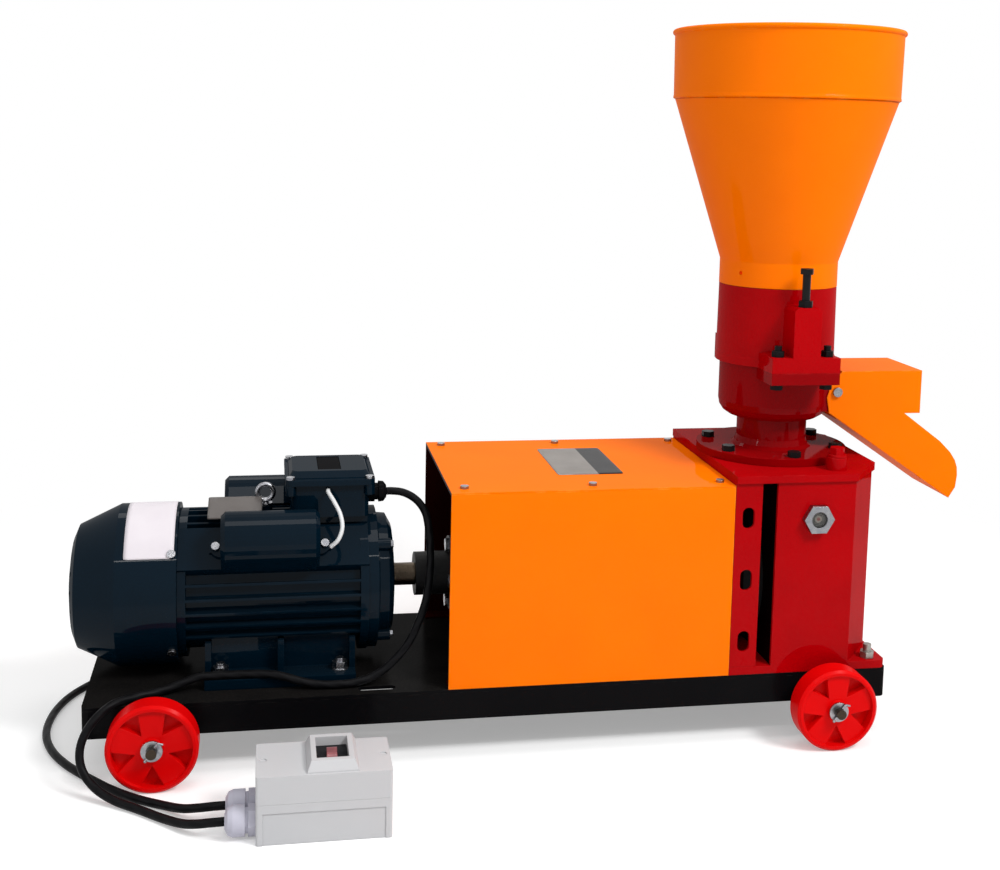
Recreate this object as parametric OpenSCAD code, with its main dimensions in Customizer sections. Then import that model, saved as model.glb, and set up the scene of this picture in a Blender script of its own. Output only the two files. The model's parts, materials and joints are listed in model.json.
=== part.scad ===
// Flat-die feed pellet mill on a wheeled base plate.
// A single-phase motor at the -X end drives a bevel gearbox through a pin coupling.
// The gearbox turns the flat die, and two rollers on a fixed axle press the feed through it.
// The origin is the middle of the machine's footprint on the floor, without its cable.

/* [Base frame] */
// Length of the base plate
frame_length = 970; // [950:5:990]
// Width of the base plate, the guard and the gearbox
frame_width = 264; // [258:2:270]
// Depth of the folded skirt
frame_depth = 37; // [33:1:41]
// Thickness of the base plate and its skirt
frame_plate = 4; // [3:0.5:5]
// Height of the top of the base plate above the floor
frame_top_z = 85; // [84:1:90]
// Corner radius of the base plate
frame_corner = 8; // [6:1:12]

/* [Wheels] */
// Diameter of a wheel
wheel_diameter = 102; // [98:1:104]
// Width of a wheel
wheel_width = 30; // [26:1:34]
// Distance between the two axles
wheel_base = 808; // [790:2:820]
// Gap from the skirt to a wheel, filled by the axle's collar
wheel_gap = 14.5; // [12:0.5:18]
// Diameter of the axles
axle_diameter = 12; // [10:0.5:14]
// Number of spokes in a wheel
spoke_count = 5; // [4:1:6]

/* [Motor] */
// Height of the motor shaft above the base plate
shaft_height = 100; // [98:1:106]
// Diameter of the motor over its fins
motor_diameter = 178; // [172:1:184]
// Length of the finned motor housing
motor_length = 224; // [216:2:232]
// Distance from the end of the base plate to the motor housing
motor_setback = 103; // [98:1:110]
// Diameter of the fan cowl
cowl_diameter = 194; // [190:1:196]
// Length of the fan cowl
cowl_length = 127; // [122:1:132]
// Diameter of the motor shaft
motor_shaft_diameter = 28; // [24:1:30]
// Bolt spacing of the motor feet along the shaft
foot_spacing_x = 140; // [136:1:144]
// Bolt spacing of the motor feet across the shaft
foot_spacing_y = 160; // [156:1:164]
// Angle of the capacitor covers above the horizontal
capacitor_angle = 43; // [41:1:45]
// Diameter of a capacitor cover
capacitor_cover_diameter = 62; // [58:1:64]
// Length of a capacitor cover
capacitor_cover_length = 114; // [108:1:118]

/* [Terminal box] */
// Length of the terminal box lid
terminal_lid_length = 107; // [103:1:111]
// Width of the terminal box lid
terminal_lid_width = 120; // [114:1:124]
// Height of the terminal box under its lid
terminal_box_height = 40; // [36:1:44]

/* [Guard] */
// Length of the coupling guard
guard_length = 346; // [338:2:352]
// Height of the coupling guard above the base plate
guard_height = 238; // [234:1:239]
// Thickness of the guard's sheet
guard_sheet = 2; // [1.5:0.5:2.5]

/* [Gearbox] */
// Distance from the middle of the base plate to the mill's axis
mill_offset = 370; // [364:1:374]
// Distance from the mill's axis to the gearbox's guard end
gearbox_left = 91.5; // [90:0.5:94]
// Distance from the mill's axis to the gearbox's free end
gearbox_right = 107; // [104:1:110]
// Height of the gearbox above the base plate, with its top plate
gearbox_height = 250; // [249:1:254]
// Length of the corner cut along the gearbox
gearbox_chamfer_x = 44.5; // [40:0.5:50]
// Length of the corner cut across the gearbox
gearbox_chamfer_y = 54; // [48:1:60]
// Thickness of the gearbox's walls
gearbox_wall = 6; // [5:0.5:7]
// Width of the red end strip
strip_width = 34; // [31:1:37]
// Teeth on the pinion
pinion_teeth = 12; // [12:1:12]
// Teeth on the crown gear
crown_teeth = 42; // [42:1:42]
// Pitch radius of the crown gear
crown_pitch_radius = 57; // [55:0.5:58]

/* [Mill] */
// Outer diameter of the lower barrel
lower_barrel_diameter = 140; // [138:1:142]
// Outer diameter of the upper barrel
upper_barrel_diameter = 149; // [147:1:150]
// Bore of both barrels
barrel_bore = 121; // [120:0.5:123]
// Height of the joint between the barrels above the floor
barrel_joint_z = 455; // [453:1:457]
// Height of the top of the upper barrel above the floor
barrel_top_z = 554; // [551:1:557]
// Diameter of the bearing flange
flange_diameter = 192; // [188:1:194]
// Thickness of the flat die
die_thickness = 20; // [18:1:21]
// Diameter of a pellet hole
pellet_hole = 6; // [5:0.5:7]
// Rings of pellet holes in the die
hole_rings = 3; // [2:1:3]
// Diameter of a roller
roller_diameter = 60; // [56:1:62]
// Width of a roller
roller_width = 32; // [28:1:34]
// Number of grooves round a roller
roller_grooves = 30; // [24:1:36]
// Diameter of the roller axle
roller_axle_diameter = 20; // [18:0.5:22]
// Lift that the adjusting bolts give the rollers
roller_lift = 4; // [3:0.5:5]
// Diameter of an adjusting bolt
adjusting_bolt_diameter = 10; // [8:0.5:11]

/* [Hopper] */
// Diameter of the hopper's band
hopper_diameter = 284; // [278:2:290]
// Height of the top of the hopper above the floor
hopper_top_z = 874; // [868:2:880]
// Height of the hopper's band under the rolled rim
hopper_band = 84.5; // [80:0.5:90]
// Height of the collar at the foot of the hopper
hopper_collar = 31.5; // [28:0.5:35]
// Thickness of the hopper's sheet
hopper_sheet = 1.5; // [1.2:0.1:2]

/* [Chute] */
// Width of the chute over its cheeks
chute_width = 102; // [99:1:106]
// Distance from the mill's axis to the tip of the chute
chute_reach = 239; // [232:1:246]
// Thickness of the chute's sheet
chute_sheet = 1.5; // [1.2:0.1:2]

/* [Switch box] */
// Length of the switch box
switch_length = 142; // [136:1:148]
// Width of the switch box
switch_width = 81; // [78:1:84]
// Height of the switch box under its bezel
switch_height = 74.5; // [72:0.5:77]
// Diameter of the cables
cable_diameter = 9.5; // [9:0.25:10]

/* [Hidden] */

$fn = 96;
overrun = 1;
seat_gap = 0.3;
fit_gap = 0.05;

// Places along the machine
frame_half = frame_length / 2;
reach_left = frame_half - motor_setback + cowl_length;
reach_right = mill_offset + chute_reach;
frame_x = (reach_left - reach_right) / 2;
motor_x0 = frame_x - frame_half + motor_setback;
motor_x1 = motor_x0 + motor_length;
motor_mid_x = motor_x0 + motor_length * 0.535;
mill_x = frame_x + mill_offset;
gearbox_x0 = mill_x - gearbox_left;
gearbox_x1 = mill_x + gearbox_right;
guard_x0 = gearbox_x0 - guard_length;
side_y = frame_width / 2;
shaft_z = frame_top_z + shaft_height;
wheel_z = wheel_diameter / 2;
wheel_in_y = side_y + wheel_gap;
wheel_out_y = wheel_in_y + wheel_width;

// Placing helpers
// Draws a profile of (y, z) points along X from x
module along_x(x, y = 0, z = 0) { translate([x, y, z]) rotate([90, 0, 90]) children(); }
// Draws a profile of (x, z) points towards -Y from y
module towards_front(x, y, z) { translate([x, y, z]) rotate([90, 0, 0]) children(); }
// Draws its children at both sides of the machine's middle plane
module both_sides() { children(); mirror([0, 1, 0]) children(); }
// A flat plate with rounded corners, centred
module rounded_plate(l, w, r) {
    square([l - 2 * r, w], center = true);
    square([l, w - 2 * r], center = true);
    for (sx = [-1, 1], sy = [-1, 1]) translate([sx * (l / 2 - r), sy * (w / 2 - r)]) circle(r = r);
}
// A round cut that runs past both ends of a height
module hole(h, r) { translate([0, 0, -overrun]) cylinder(h = h + 2 * overrun, r = r); }
module tube(h, r_out, r_in) {
    difference() {
        cylinder(h = h, r = r_out);
        hole(h, r_in);
    }
}
module hex_bolt(d, shank, head_h) {
    translate([0, 0, -shank]) cylinder(h = shank, d = d);
    cylinder(h = head_h, d = 1.85 * d, $fn = 6);
}
module pan_screw(d, shank, head_h) {
    translate([0, 0, -shank]) cylinder(h = shank, d = d);
    cylinder(h = head_h, d = 2 * d);
}

// Base frame
tab_width = 28;
tab_plate = 5;
motor_slot_length = 44;
motor_slot_width = 11;
motor_slot_offset = 7.5;
motor_slot_x = motor_x1 + motor_slot_offset;
motor_slot_y = side_y - motor_slot_width * 1.5;
foot_bolt_diameter = 10;
base_stud_diameter = 10;
base_stud_inset = 13;
base_stud_x = gearbox_x1 - base_stud_inset;
base_stud_y = side_y - base_stud_inset;

module base_frame() color("#141416") difference() {
    translate([frame_x, 0, frame_top_z - frame_plate]) linear_extrude(frame_plate)
        rounded_plate(frame_length, frame_width, frame_corner);
    both_sides() translate([motor_slot_x, motor_slot_y, frame_top_z - frame_plate - overrun])
        linear_extrude(frame_plate + 2 * overrun)
        rounded_plate(motor_slot_length, motor_slot_width, motor_slot_width * 0.49);
    foot_places(frame_top_z - frame_plate) hole(frame_plate, foot_bolt_diameter / 2 + seat_gap);
    stud_places(frame_top_z - frame_plate) hole(frame_plate, base_stud_diameter / 2 + seat_gap);
}

// The folded rim under the plate, with the four tabs that carry the axles.
module frame_skirt() color("#141416") difference() {
    union() {
        difference() {
            translate([frame_x, 0, frame_top_z - frame_depth]) linear_extrude(frame_depth - frame_plate)
                rounded_plate(frame_length, frame_width, frame_corner);
            translate([frame_x, 0, frame_top_z - frame_depth - overrun])
                linear_extrude(frame_depth - frame_plate + 2 * overrun)
                rounded_plate(frame_length - 2 * frame_plate, frame_width - 2 * frame_plate,
                    frame_corner - frame_plate);
        }
        for (sx = [-1, 1]) both_sides()
            towards_front(frame_x + sx * wheel_base / 2, -side_y + frame_plate + tab_plate, 0) {
                translate([-tab_width / 2, wheel_z])
                    cube([tab_width, frame_top_z - frame_plate - wheel_z, tab_plate]);
                translate([0, wheel_z]) cylinder(h = tab_plate, d = tab_width);
            }
    }
    for (sx = [-1, 1]) towards_front(frame_x + sx * wheel_base / 2, side_y + overrun, wheel_z)
        cylinder(h = frame_width + 2 * overrun, r = axle_diameter / 2 + fit_gap);
}

// Wheels and axles
washer_diameter = 24;
washer_thickness = 2.5;
split_pin_diameter = 2.5;
split_pin_length = 24;
axle_end = 11;
axle_half = wheel_out_y + axle_end;
split_pin_y = wheel_out_y + seat_gap + washer_thickness + seat_gap + split_pin_diameter / 2;
split_pin_lean = 35;

module split_pin() {
    cylinder(h = split_pin_length, d = split_pin_diameter, center = true);
    translate([0, 0, -split_pin_length / 2]) sphere(d = split_pin_diameter * 1.6);
    translate([0, 0, split_pin_length / 2]) rotate([0, 2 * split_pin_lean, 0])
        cylinder(h = split_pin_length / 4, d = split_pin_diameter);
}

module wheel_axles() color("silver") for (sx = [-1, 1]) translate([frame_x + sx * wheel_base / 2, 0, wheel_z]) {
    difference() {
        union() {
            towards_front(0, axle_half, 0) cylinder(h = 2 * axle_half, d = axle_diameter);
            both_sides() towards_front(0, -side_y - seat_gap, 0)
                cylinder(h = wheel_gap - 2 * seat_gap, d = axle_diameter * 1.6);
        }
        both_sides() translate([0, -split_pin_y, 0]) rotate([0, split_pin_lean, 0])
            cylinder(h = axle_diameter + 2 * overrun, r = split_pin_diameter / 2 + fit_gap, center = true);
    }
    both_sides() {
        towards_front(0, -wheel_out_y - seat_gap, 0)
            tube(washer_thickness, washer_diameter / 2, axle_diameter / 2 + fit_gap);
        translate([0, -split_pin_y, 0]) rotate([0, split_pin_lean, 0]) split_pin();
    }
}

wheel_rim = 6.6;
wheel_web = 4;
wheel_hub_diameter = 25;
wheel_edge = 3;
spoke_recess = 3.5;
spoke_inner_share = 0.36;
spoke_outer_share = 0.62;

module wheel_body() difference() {
    union() {
        difference() {
            rotate_extrude() polygon([
                [0, 0], [wheel_z - wheel_edge, 0], [wheel_z, wheel_edge],
                [wheel_z, wheel_width - wheel_edge], [wheel_z - wheel_edge, wheel_width], [0, wheel_width]]);
            translate([0, 0, wheel_width / 2 + wheel_web / 2])
                cylinder(h = wheel_width, r = wheel_z - wheel_rim);
            translate([0, 0, wheel_width / 2 - wheel_web / 2 - wheel_width])
                cylinder(h = wheel_width, r = wheel_z - wheel_rim);
        }
        cylinder(h = wheel_width, d = wheel_hub_diameter);
        for (i = [0 : spoke_count - 1]) rotate([0, 0, 90 + i * 360 / spoke_count])
            translate([0, 0, spoke_recess]) linear_extrude(wheel_width - 2 * spoke_recess) polygon([
                [0, -spoke_inner_share * wheel_hub_diameter],
                [wheel_z - wheel_rim / 2, -spoke_outer_share * wheel_z / 2],
                [wheel_z - wheel_rim / 2, spoke_outer_share * wheel_z / 2],
                [0, spoke_inner_share * wheel_hub_diameter]]);
    }
    hole(wheel_width, axle_diameter / 2 + fit_gap);
}
module placed_wheel(sx, sy) color("#e01010")
    translate([frame_x + sx * wheel_base / 2, sy * wheel_in_y, wheel_z]) rotate([-sy * 90, 0, 0]) wheel_body();

// Motor housing
fin_height = 10;
fin_thickness = 3.2;
fin_step = 11;
top_fins = 3;
housing_bore = 144;
housing_radius = motor_diameter / 2 - fin_height;
pad_radius = motor_diameter / 2 - seat_gap;
pad_half_width = 27;
foot_end = 18;
foot_length = foot_spacing_x + 2 * foot_end;
foot_width = 40;
foot_thickness = 12;
foot_web = 7;
box_pedestal_rise = 2;
box_pedestal_z = shaft_z + motor_diameter / 2 + box_pedestal_rise;
lid_overhang = 7;
box_length = terminal_lid_length - 2 * lid_overhang;
box_width = terminal_lid_width - 2 * lid_overhang;
box_setback = 45.5;
box_x = motor_x1 - box_setback;
eye_offset = 102;
eye_x = motor_x0 + eye_offset;
eye_seat_rise = 3;
eye_seat_z = box_pedestal_z + eye_seat_rise;
fin_angle_shares = [0.16, 0.035, -0.09, -0.212, -0.334];
screw_lug = 7;
shield_step = 2;
shield_bolt_radius = motor_diameter / 2 - shield_step;

module motor_fins() {
    for (s = fin_angle_shares, side = [0, 1]) mirror([side, 0]) rotate(180 - s * 90)
        translate([0, -fin_thickness / 2]) square([motor_diameter / 2, fin_thickness]);
    for (i = [-top_fins : top_fins]) rotate(90 + i * fin_step)
        translate([0, -fin_thickness / 2]) square([motor_diameter / 2, fin_thickness]);
}

module motor_housing() color("#0a2233") difference() {
    union() {
        along_x(motor_x0, 0, shaft_z) linear_extrude(motor_length) {
            circle(r = housing_radius);
            motor_fins();
        }
        along_x(motor_x0, 0, shaft_z) linear_extrude(motor_length)
            for (side = [0, 1]) mirror([side, 0]) rotate(180 - capacitor_angle)
            translate([0, -pad_half_width]) square([pad_radius, 2 * pad_half_width]);
        along_x(motor_x0, 0, shaft_z) cylinder(h = fin_height, r = motor_diameter / 2);
        along_x(motor_x1 - fin_height, 0, shaft_z) cylinder(h = fin_height, r = motor_diameter / 2);
        both_sides() translate([motor_mid_x - foot_length / 2, -foot_spacing_y / 2 - foot_width / 2, frame_top_z])
            cube([foot_length, foot_width, foot_thickness]);
        both_sides() for (sx = [-1, 0, 1])
            translate([motor_mid_x + sx * (foot_length - foot_web) / 2 - foot_web / 2,
                -foot_spacing_y / 2, frame_top_z])
            cube([foot_web, foot_spacing_y / 2, shaft_height / 2]);
        both_sides() translate([motor_mid_x - foot_length / 2, -foot_spacing_y / 2 + foot_width / 2 - foot_web, frame_top_z])
            cube([foot_length, foot_web, shaft_height * 0.55]);
        translate([box_x - box_length / 2, -box_width * 0.4, shaft_z])
            cube([min(box_length, motor_x1 - box_x + box_length / 2), box_width * 0.8, box_pedestal_z - shaft_z]);
        translate([eye_x, 0, shaft_z]) cylinder(h = eye_seat_z - shaft_z, d = eye_collar);
    }
    along_x(motor_x0 - overrun, 0, shaft_z) cylinder(h = motor_length + 2 * overrun, d = housing_bore);
    foot_places(frame_top_z) hole(foot_thickness, foot_bolt_diameter / 2 + seat_gap);
    translate([box_x, 0, shaft_z]) cylinder(h = box_pedestal_z, d = lead_hole);
    for (side = [0, 1]) at_capacitor(side) cover_screw_places(pad_radius - ear_plate) hole(2 * ear_plate, screw_hole);
    translate([eye_x, 0, eye_seat_z - eye_thread_length]) cylinder(h = eye_thread_length + overrun, d = eye_thread + 2 * fit_gap);
}
lead_hole = 26;

// Stator and rotor
air_gap = 0.8;
rotor_radius = 44;
shaft_clearance = 2;
bearing_step = 1;
core_length = 120;
winding_overhang = 26;
winding_thickness = 16;
core_x0 = motor_x0 + (motor_length - core_length) / 2;
shield_length = 34;
rear_shield_length = 12;
bearing_width = 16;
bearing_radius = 31;
drive_bearing_x = motor_x1 + shield_length - bearing_width - gearbox_wall;
rear_bearing_x = motor_x0 - rear_shield_length + (rear_shield_length - bearing_width) / 2;
shaft_end = 60;
shaft_tip_x = motor_x1 + shield_length + shaft_end;
fan_offset = 56;
fan_x = motor_x0 - fan_offset;
fan_width = 26;
fan_radius = 78;
fan_hub_radius = 20;
fan_bore_radius = motor_shaft_diameter * 0.4;

module motor_stator() color("#8d7a5a") {
    along_x(core_x0, 0, shaft_z) tube(core_length, housing_bore / 2 - fit_gap, rotor_radius + air_gap);
    for (x = [core_x0 - winding_overhang, core_x0 + core_length]) along_x(x, 0, shaft_z)
        tube(winding_overhang, rotor_radius + air_gap + winding_thickness + fin_height / 2,
            rotor_radius + air_gap + fin_height / 2);
}

module motor_rotor() color("#9aa0a6") difference() {
    union() {
        along_x(core_x0, 0, shaft_z) cylinder(h = core_length, r = rotor_radius);
        along_x(rear_bearing_x - seat_gap, 0, shaft_z)
            cylinder(h = drive_bearing_x + bearing_width - rear_bearing_x + 2 * seat_gap,
                r = motor_shaft_diameter / 2 + bearing_step);
        along_x(drive_bearing_x, 0, shaft_z)
            cylinder(h = shaft_tip_x - drive_bearing_x, d = motor_shaft_diameter);
        along_x(fan_x - fan_width / 2, 0, shaft_z)
            cylinder(h = rear_bearing_x - fan_x + fan_width / 2 + seat_gap, r = fan_bore_radius);
    }
    translate([shaft_tip_x - shaft_end * 0.95, -key_width / 2, shaft_z - motor_shaft_diameter / 2 - overrun])
        cube([shaft_end, key_width, key_depth + overrun]);
}
key_width = 8;
key_depth = 4;

module cooling_fan() color("#1b1b1d") along_x(fan_x - fan_width / 2, 0, shaft_z) difference() {
    union() {
        cylinder(h = fan_width, r = fan_hub_radius);
        translate([0, 0, fan_width - fan_plate]) cylinder(h = fan_plate, r = fan_radius);
        for (i = [0 : fan_blades - 1]) rotate([0, 0, i * 360 / fan_blades])
            translate([fan_hub_radius - fan_plate, -fan_plate / 2, 0])
            cube([fan_radius - fan_hub_radius, fan_plate, fan_width - fan_plate / 2]);
    }
    hole(fan_width, fan_bore_radius + fit_gap);
}
fan_plate = 3;
fan_blades = 8;

// End shields, each a turned casting with a bearing seat
shield_rim = 12;
shield_lug_share = 0.8;
module shield_bore(x0, length) {
    along_x(x0 - overrun, 0, shaft_z) cylinder(h = length + 2 * overrun, r = motor_shaft_diameter / 2 + shaft_clearance);
}
module drive_end_shield() color("#0a2233") difference() {
    union() {
        along_x(motor_x1, 0, shaft_z) rotate_extrude() polygon([
            [0, 0], [shield_bolt_radius, 0], [shield_bolt_radius, shield_rim],
            [shield_bolt_radius - shield_rim * 0.75, shield_rim + shield_step],
            [motor_diameter / 2 - shield_rim, shield_length * 0.74],
            [motor_diameter / 2 - 2 * shield_rim, shield_length * 0.93],
            [motor_diameter * 0.24, shield_length], [0, shield_length]]);
        for (a = [45, 135, 225, 315]) along_x(motor_x1, 0, shaft_z) rotate([0, 0, a])
            translate([shield_bolt_radius - screw_lug, 0, 0]) cylinder(h = shield_length * shield_lug_share, r = screw_lug);
    }
    along_x(motor_x1 - overrun, 0, shaft_z) cylinder(h = shield_length * 0.3 + overrun, r = housing_bore / 2 - shield_step);
    along_x(motor_x1 - overrun, 0, shaft_z)
        cylinder(h = drive_bearing_x + bearing_width - motor_x1 + overrun, r = bearing_radius + fit_gap);
    shield_bore(motor_x1, shield_length);
    for (a = [45, 135, 225, 315]) along_x(motor_x1 - overrun, 0, shaft_z) rotate([0, 0, a])
        translate([shield_bolt_radius - screw_lug, 0, 0])
        cylinder(h = shield_length, r = screw_hole);
}
module rear_end_shield() color("#0a2233") difference() {
    union() {
        along_x(motor_x0 - rear_shield_length, 0, shaft_z)
            cylinder(h = rear_shield_length, r = cowl_diameter / 2 - cowl_sheet - seat_gap);
        along_x(motor_x0 - rear_shield_length * 1.6, 0, shaft_z)
            cylinder(h = rear_shield_length * 2.4, r = bearing_radius + gearbox_wall);
    }
    along_x(rear_bearing_x, 0, shaft_z) cylinder(h = rear_shield_length * 3, r = bearing_radius + fit_gap);
    shield_bore(motor_x0 - rear_shield_length * 2, rear_shield_length * 4);
    for (a = cowl_screw_angles) along_x(motor_x0 - rear_shield_length / 2, 0, shaft_z) rotate([0, 0, a]) rotate([0, 90, 0])
        cylinder(h = cowl_diameter / 2, r = screw_hole);
}

// Fan cowl, a spun sheet with a conical shoulder and a slotted end
cowl_sheet = 2;
cowl_end_radius = 74;
cowl_shoulder = 57;
cowl_dome = 9;
cowl_straight = cowl_length - cowl_shoulder;
cowl_screw_angles = [-37, 37, 143, 217];
cowl_slots = 18;
slot_rings = 3;
slot_width = 5;

function cowl_outline(r, rs, len_x, dome) = [
    [r, 0], [r, cowl_straight], [rs, len_x - dome], [rs * 0.82, len_x - dome * 0.4], [rs * 0.5, len_x]];
module fan_cowl() color("#0a2233") difference() {
    along_x(motor_x0, 0, shaft_z) mirror([0, 0, 1]) difference() {
        rotate_extrude() polygon(concat([[0, 0]],
            cowl_outline(cowl_diameter / 2, cowl_end_radius, cowl_length, cowl_dome), [[0, cowl_length]]));
        translate([0, 0, -overrun]) cylinder(h = 2 * overrun, r = cowl_diameter / 2 - cowl_sheet);
        rotate_extrude() polygon(concat([[0, 0]],
            cowl_outline(cowl_diameter / 2 - cowl_sheet, cowl_end_radius - cowl_sheet,
                cowl_length - cowl_sheet, cowl_dome), [[0, cowl_length - cowl_sheet]]));
        for (ring = [1 : slot_rings], i = [0 : cowl_slots - 1]) rotate([0, 0, (i + ring / 2) * 360 / cowl_slots])
            translate([cowl_end_radius * (0.2 + 0.18 * ring), -slot_width / 2, cowl_length - cowl_dome - 2 * cowl_sheet])
            cube([cowl_end_radius * 0.14, slot_width, 2 * cowl_dome]);
    }
    for (a = cowl_screw_angles) along_x(motor_x0 - rear_shield_length / 2, 0, shaft_z) rotate([0, 0, a]) rotate([0, 90, 0])
        cylinder(h = cowl_diameter, r = screw_hole);
}

// Ball bearings of the motor and the gearbox, as closed rings
pinion_shaft_radius = 12.5;
bell_bearing_offset = 94;
bell_tail_offset = 215;
bell_bearing_x = mill_x - bell_bearing_offset;
bell_tail_x = mill_x - bell_tail_offset;
mill_bearing_radius = 33;
main_shaft_radius = 17;
neck_bearing_rise = 12;
foot_bearing_rise = 14;
neck_bearing_z = frame_top_z + gearbox_height + neck_bearing_rise;
foot_bearing_z = frame_top_z + foot_bearing_rise;

module ball_bearings() color("#b8bcc0") {
    along_x(drive_bearing_x, 0, shaft_z) tube(bearing_width, bearing_radius, motor_shaft_diameter / 2 + bearing_step + fit_gap);
    along_x(rear_bearing_x, 0, shaft_z) tube(bearing_width, bearing_radius, motor_shaft_diameter / 2 + bearing_step + fit_gap);
    for (x = [bell_bearing_x, bell_tail_x]) along_x(x, 0, shaft_z)
        tube(bearing_width, bearing_radius, pinion_shaft_radius + fit_gap);
    for (z = [neck_bearing_z, foot_bearing_z]) translate([mill_x, 0, z])
        tube(bearing_width, mill_bearing_radius, main_shaft_radius + fit_gap);
}

// Zinc-plated screws and bolts of the motor
screw_diameter = 5;
screw_hole = screw_diameter / 2 + fit_gap;
screw_head = 3.5;
lid_screw_inset = 6.5;
lid_flange = 7;
lid_panel_rise = 7;
lid_z = box_pedestal_z + terminal_box_height;
capacitor_radius = pad_radius + seat_gap + capacitor_cover_diameter * 0.41;
cover_ear = 14;
ear_plate = 3;

// Local frame of a capacitor cover: x along the motor, y round it, z outwards from its axis
module at_capacitor(side) translate([motor_x0 + 51, 0, shaft_z]) mirror([0, side, 0])
    rotate([90 - capacitor_angle, 0, 0]) children();

module cover_screw_places(z) for (sx = [-1, 1])
    translate([capacitor_cover_length / 2 + sx * (capacitor_cover_length / 2 + cover_ear / 2), 0, z]) children();
module lid_screw_places(z) for (sx = [-1, 1], sy = [-1, 1])
    translate([box_x + sx * (terminal_lid_length / 2 - lid_screw_inset),
        sy * (terminal_lid_width / 2 - lid_screw_inset), z]) children();
module foot_places(z) for (sx = [-1, 1], sy = [-1, 1])
    translate([motor_mid_x + sx * foot_spacing_x / 2, sy * foot_spacing_y / 2, z]) children();
module stud_places(z) for (sy = [-1, 1]) translate([base_stud_x, sy * base_stud_y, z]) children();
module guard_screw_spots(z) for (x = guard_screw_places, sy = [-1, 1])
    translate([x, sy * (side_y - guard_screw_inset), z]) children();
module round_mill(z, r, angles) for (a = angles) translate([mill_x, 0, z]) rotate([0, 0, a])
    translate([r, 0, 0]) children();
module motor_screws() color("silver") {
    for (a = cowl_screw_angles) along_x(motor_x0 - rear_shield_length / 2, 0, shaft_z) rotate([0, 0, a])
        translate([cowl_diameter / 2, 0, 0]) rotate([0, 90, 0]) pan_screw(screw_diameter, rear_shield_length, screw_head);
    for (a = [45, 135, 225, 315]) along_x(motor_x1 + shield_length * shield_lug_share, 0, shaft_z) rotate([0, 0, a])
        translate([shield_bolt_radius - screw_lug, 0, 0]) hex_bolt(screw_diameter, shield_length * 0.5, screw_head);
    lid_screw_places(lid_z + lid_flange) pan_screw(screw_diameter, lid_flange * 1.8, screw_head);
    for (side = [0, 1]) at_capacitor(side) cover_screw_places(pad_radius + seat_gap + ear_plate)
        pan_screw(screw_diameter, ear_plate * 2, screw_head);
    foot_places(frame_top_z + foot_thickness) {
        translate([0, 0, -foot_thickness - frame_plate - foot_bolt_diameter * 0.6])
            cylinder(h = foot_bolt_diameter * 0.6, d = foot_bolt_diameter * 1.85, $fn = 6);
        translate([0, 0, -foot_thickness - frame_plate])
            cylinder(h = foot_thickness + frame_plate + foot_bolt_diameter * 1.4, d = foot_bolt_diameter);
        tube(washer_thickness * 0.8, foot_bolt_diameter, foot_bolt_diameter / 2);
        translate([0, 0, washer_thickness * 0.8])
            cylinder(h = foot_bolt_diameter * 0.8, d = foot_bolt_diameter * 1.85, $fn = 6);
    }
}

// Terminal box with its lid
box_wall = 4;
box_corner = 8;
gland_radius = 13;
gland_length = 24;
gland_y = -10;
gland_z = lid_z - terminal_box_height * 0.52;
box_lug = 12;
panel_inset_x = 9;
panel_inset_y = 20;

module terminal_box() color("#0a2233") difference() {
    union() {
        translate([box_x, 0, box_pedestal_z]) linear_extrude(terminal_box_height)
            rounded_plate(box_length, box_width, box_corner);
        lid_screw_places(lid_z - box_lug) cylinder(h = box_lug, r = lid_screw_inset * 0.95);
    }
    translate([box_x, 0, box_pedestal_z + box_wall]) linear_extrude(terminal_box_height)
        rounded_plate(box_length - 2 * box_wall, box_width - 2 * box_wall, box_corner - box_wall);
    translate([box_x, 0, box_pedestal_z - overrun]) cylinder(h = box_wall + 2 * overrun, d = lead_hole);
    along_x(box_x, gland_y, gland_z) cylinder(h = box_length, r = gland_radius * 0.7 + fit_gap);
    lid_screw_places(lid_z - box_lug) hole(box_lug, screw_hole);
}

badge_length = 28;
badge_width = 66;
module terminal_box_lid() color("#0a2233") difference() {
    union() {
        translate([box_x, 0, lid_z]) linear_extrude(lid_flange)
            rounded_plate(terminal_lid_length, terminal_lid_width, box_corner);
        translate([box_x, 0, lid_z + lid_flange]) hull() {
            linear_extrude(lid_panel_rise * 0.1)
                rounded_plate(terminal_lid_length - panel_inset_x, terminal_lid_width - panel_inset_y, box_corner, $fn = 32);
            linear_extrude(lid_panel_rise)
                rounded_plate(terminal_lid_length - 2 * panel_inset_x, terminal_lid_width - 2 * panel_inset_y, box_corner, $fn = 32);
        }
    }
    translate([box_x, 0, lid_z - overrun]) linear_extrude(lid_flange * 0.6 + overrun)
        rounded_plate(box_length - 2 * box_wall, box_width - 2 * box_wall, box_corner - box_wall);
    translate([box_x, 0, lid_z + lid_flange + lid_panel_rise - lid_panel_rise * 0.2])
        linear_extrude(lid_panel_rise) square([badge_length, badge_width], center = true);
    lid_screw_places(lid_z) hole(lid_flange, screw_hole);
}

module motor_cable_gland() color("#18181a") {
    along_x(box_x + box_length / 2, gland_y, gland_z) {
        translate([0, 0, -box_wall]) cylinder(h = box_wall, r = gland_radius * 0.7);
        cylinder(h = gland_length * 0.4, r = gland_radius, $fn = 6);
        translate([0, 0, gland_length * 0.4]) cylinder(h = gland_length * 0.2, r = gland_radius * 0.8);
        translate([0, 0, gland_length * 0.6]) rotate_extrude() polygon([
            [0, 0], [gland_radius, 0], [gland_radius * 0.95, gland_length * 0.25], [gland_radius * 0.6, gland_length * 0.4], [0, gland_length * 0.4]]);
    }
}

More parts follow.
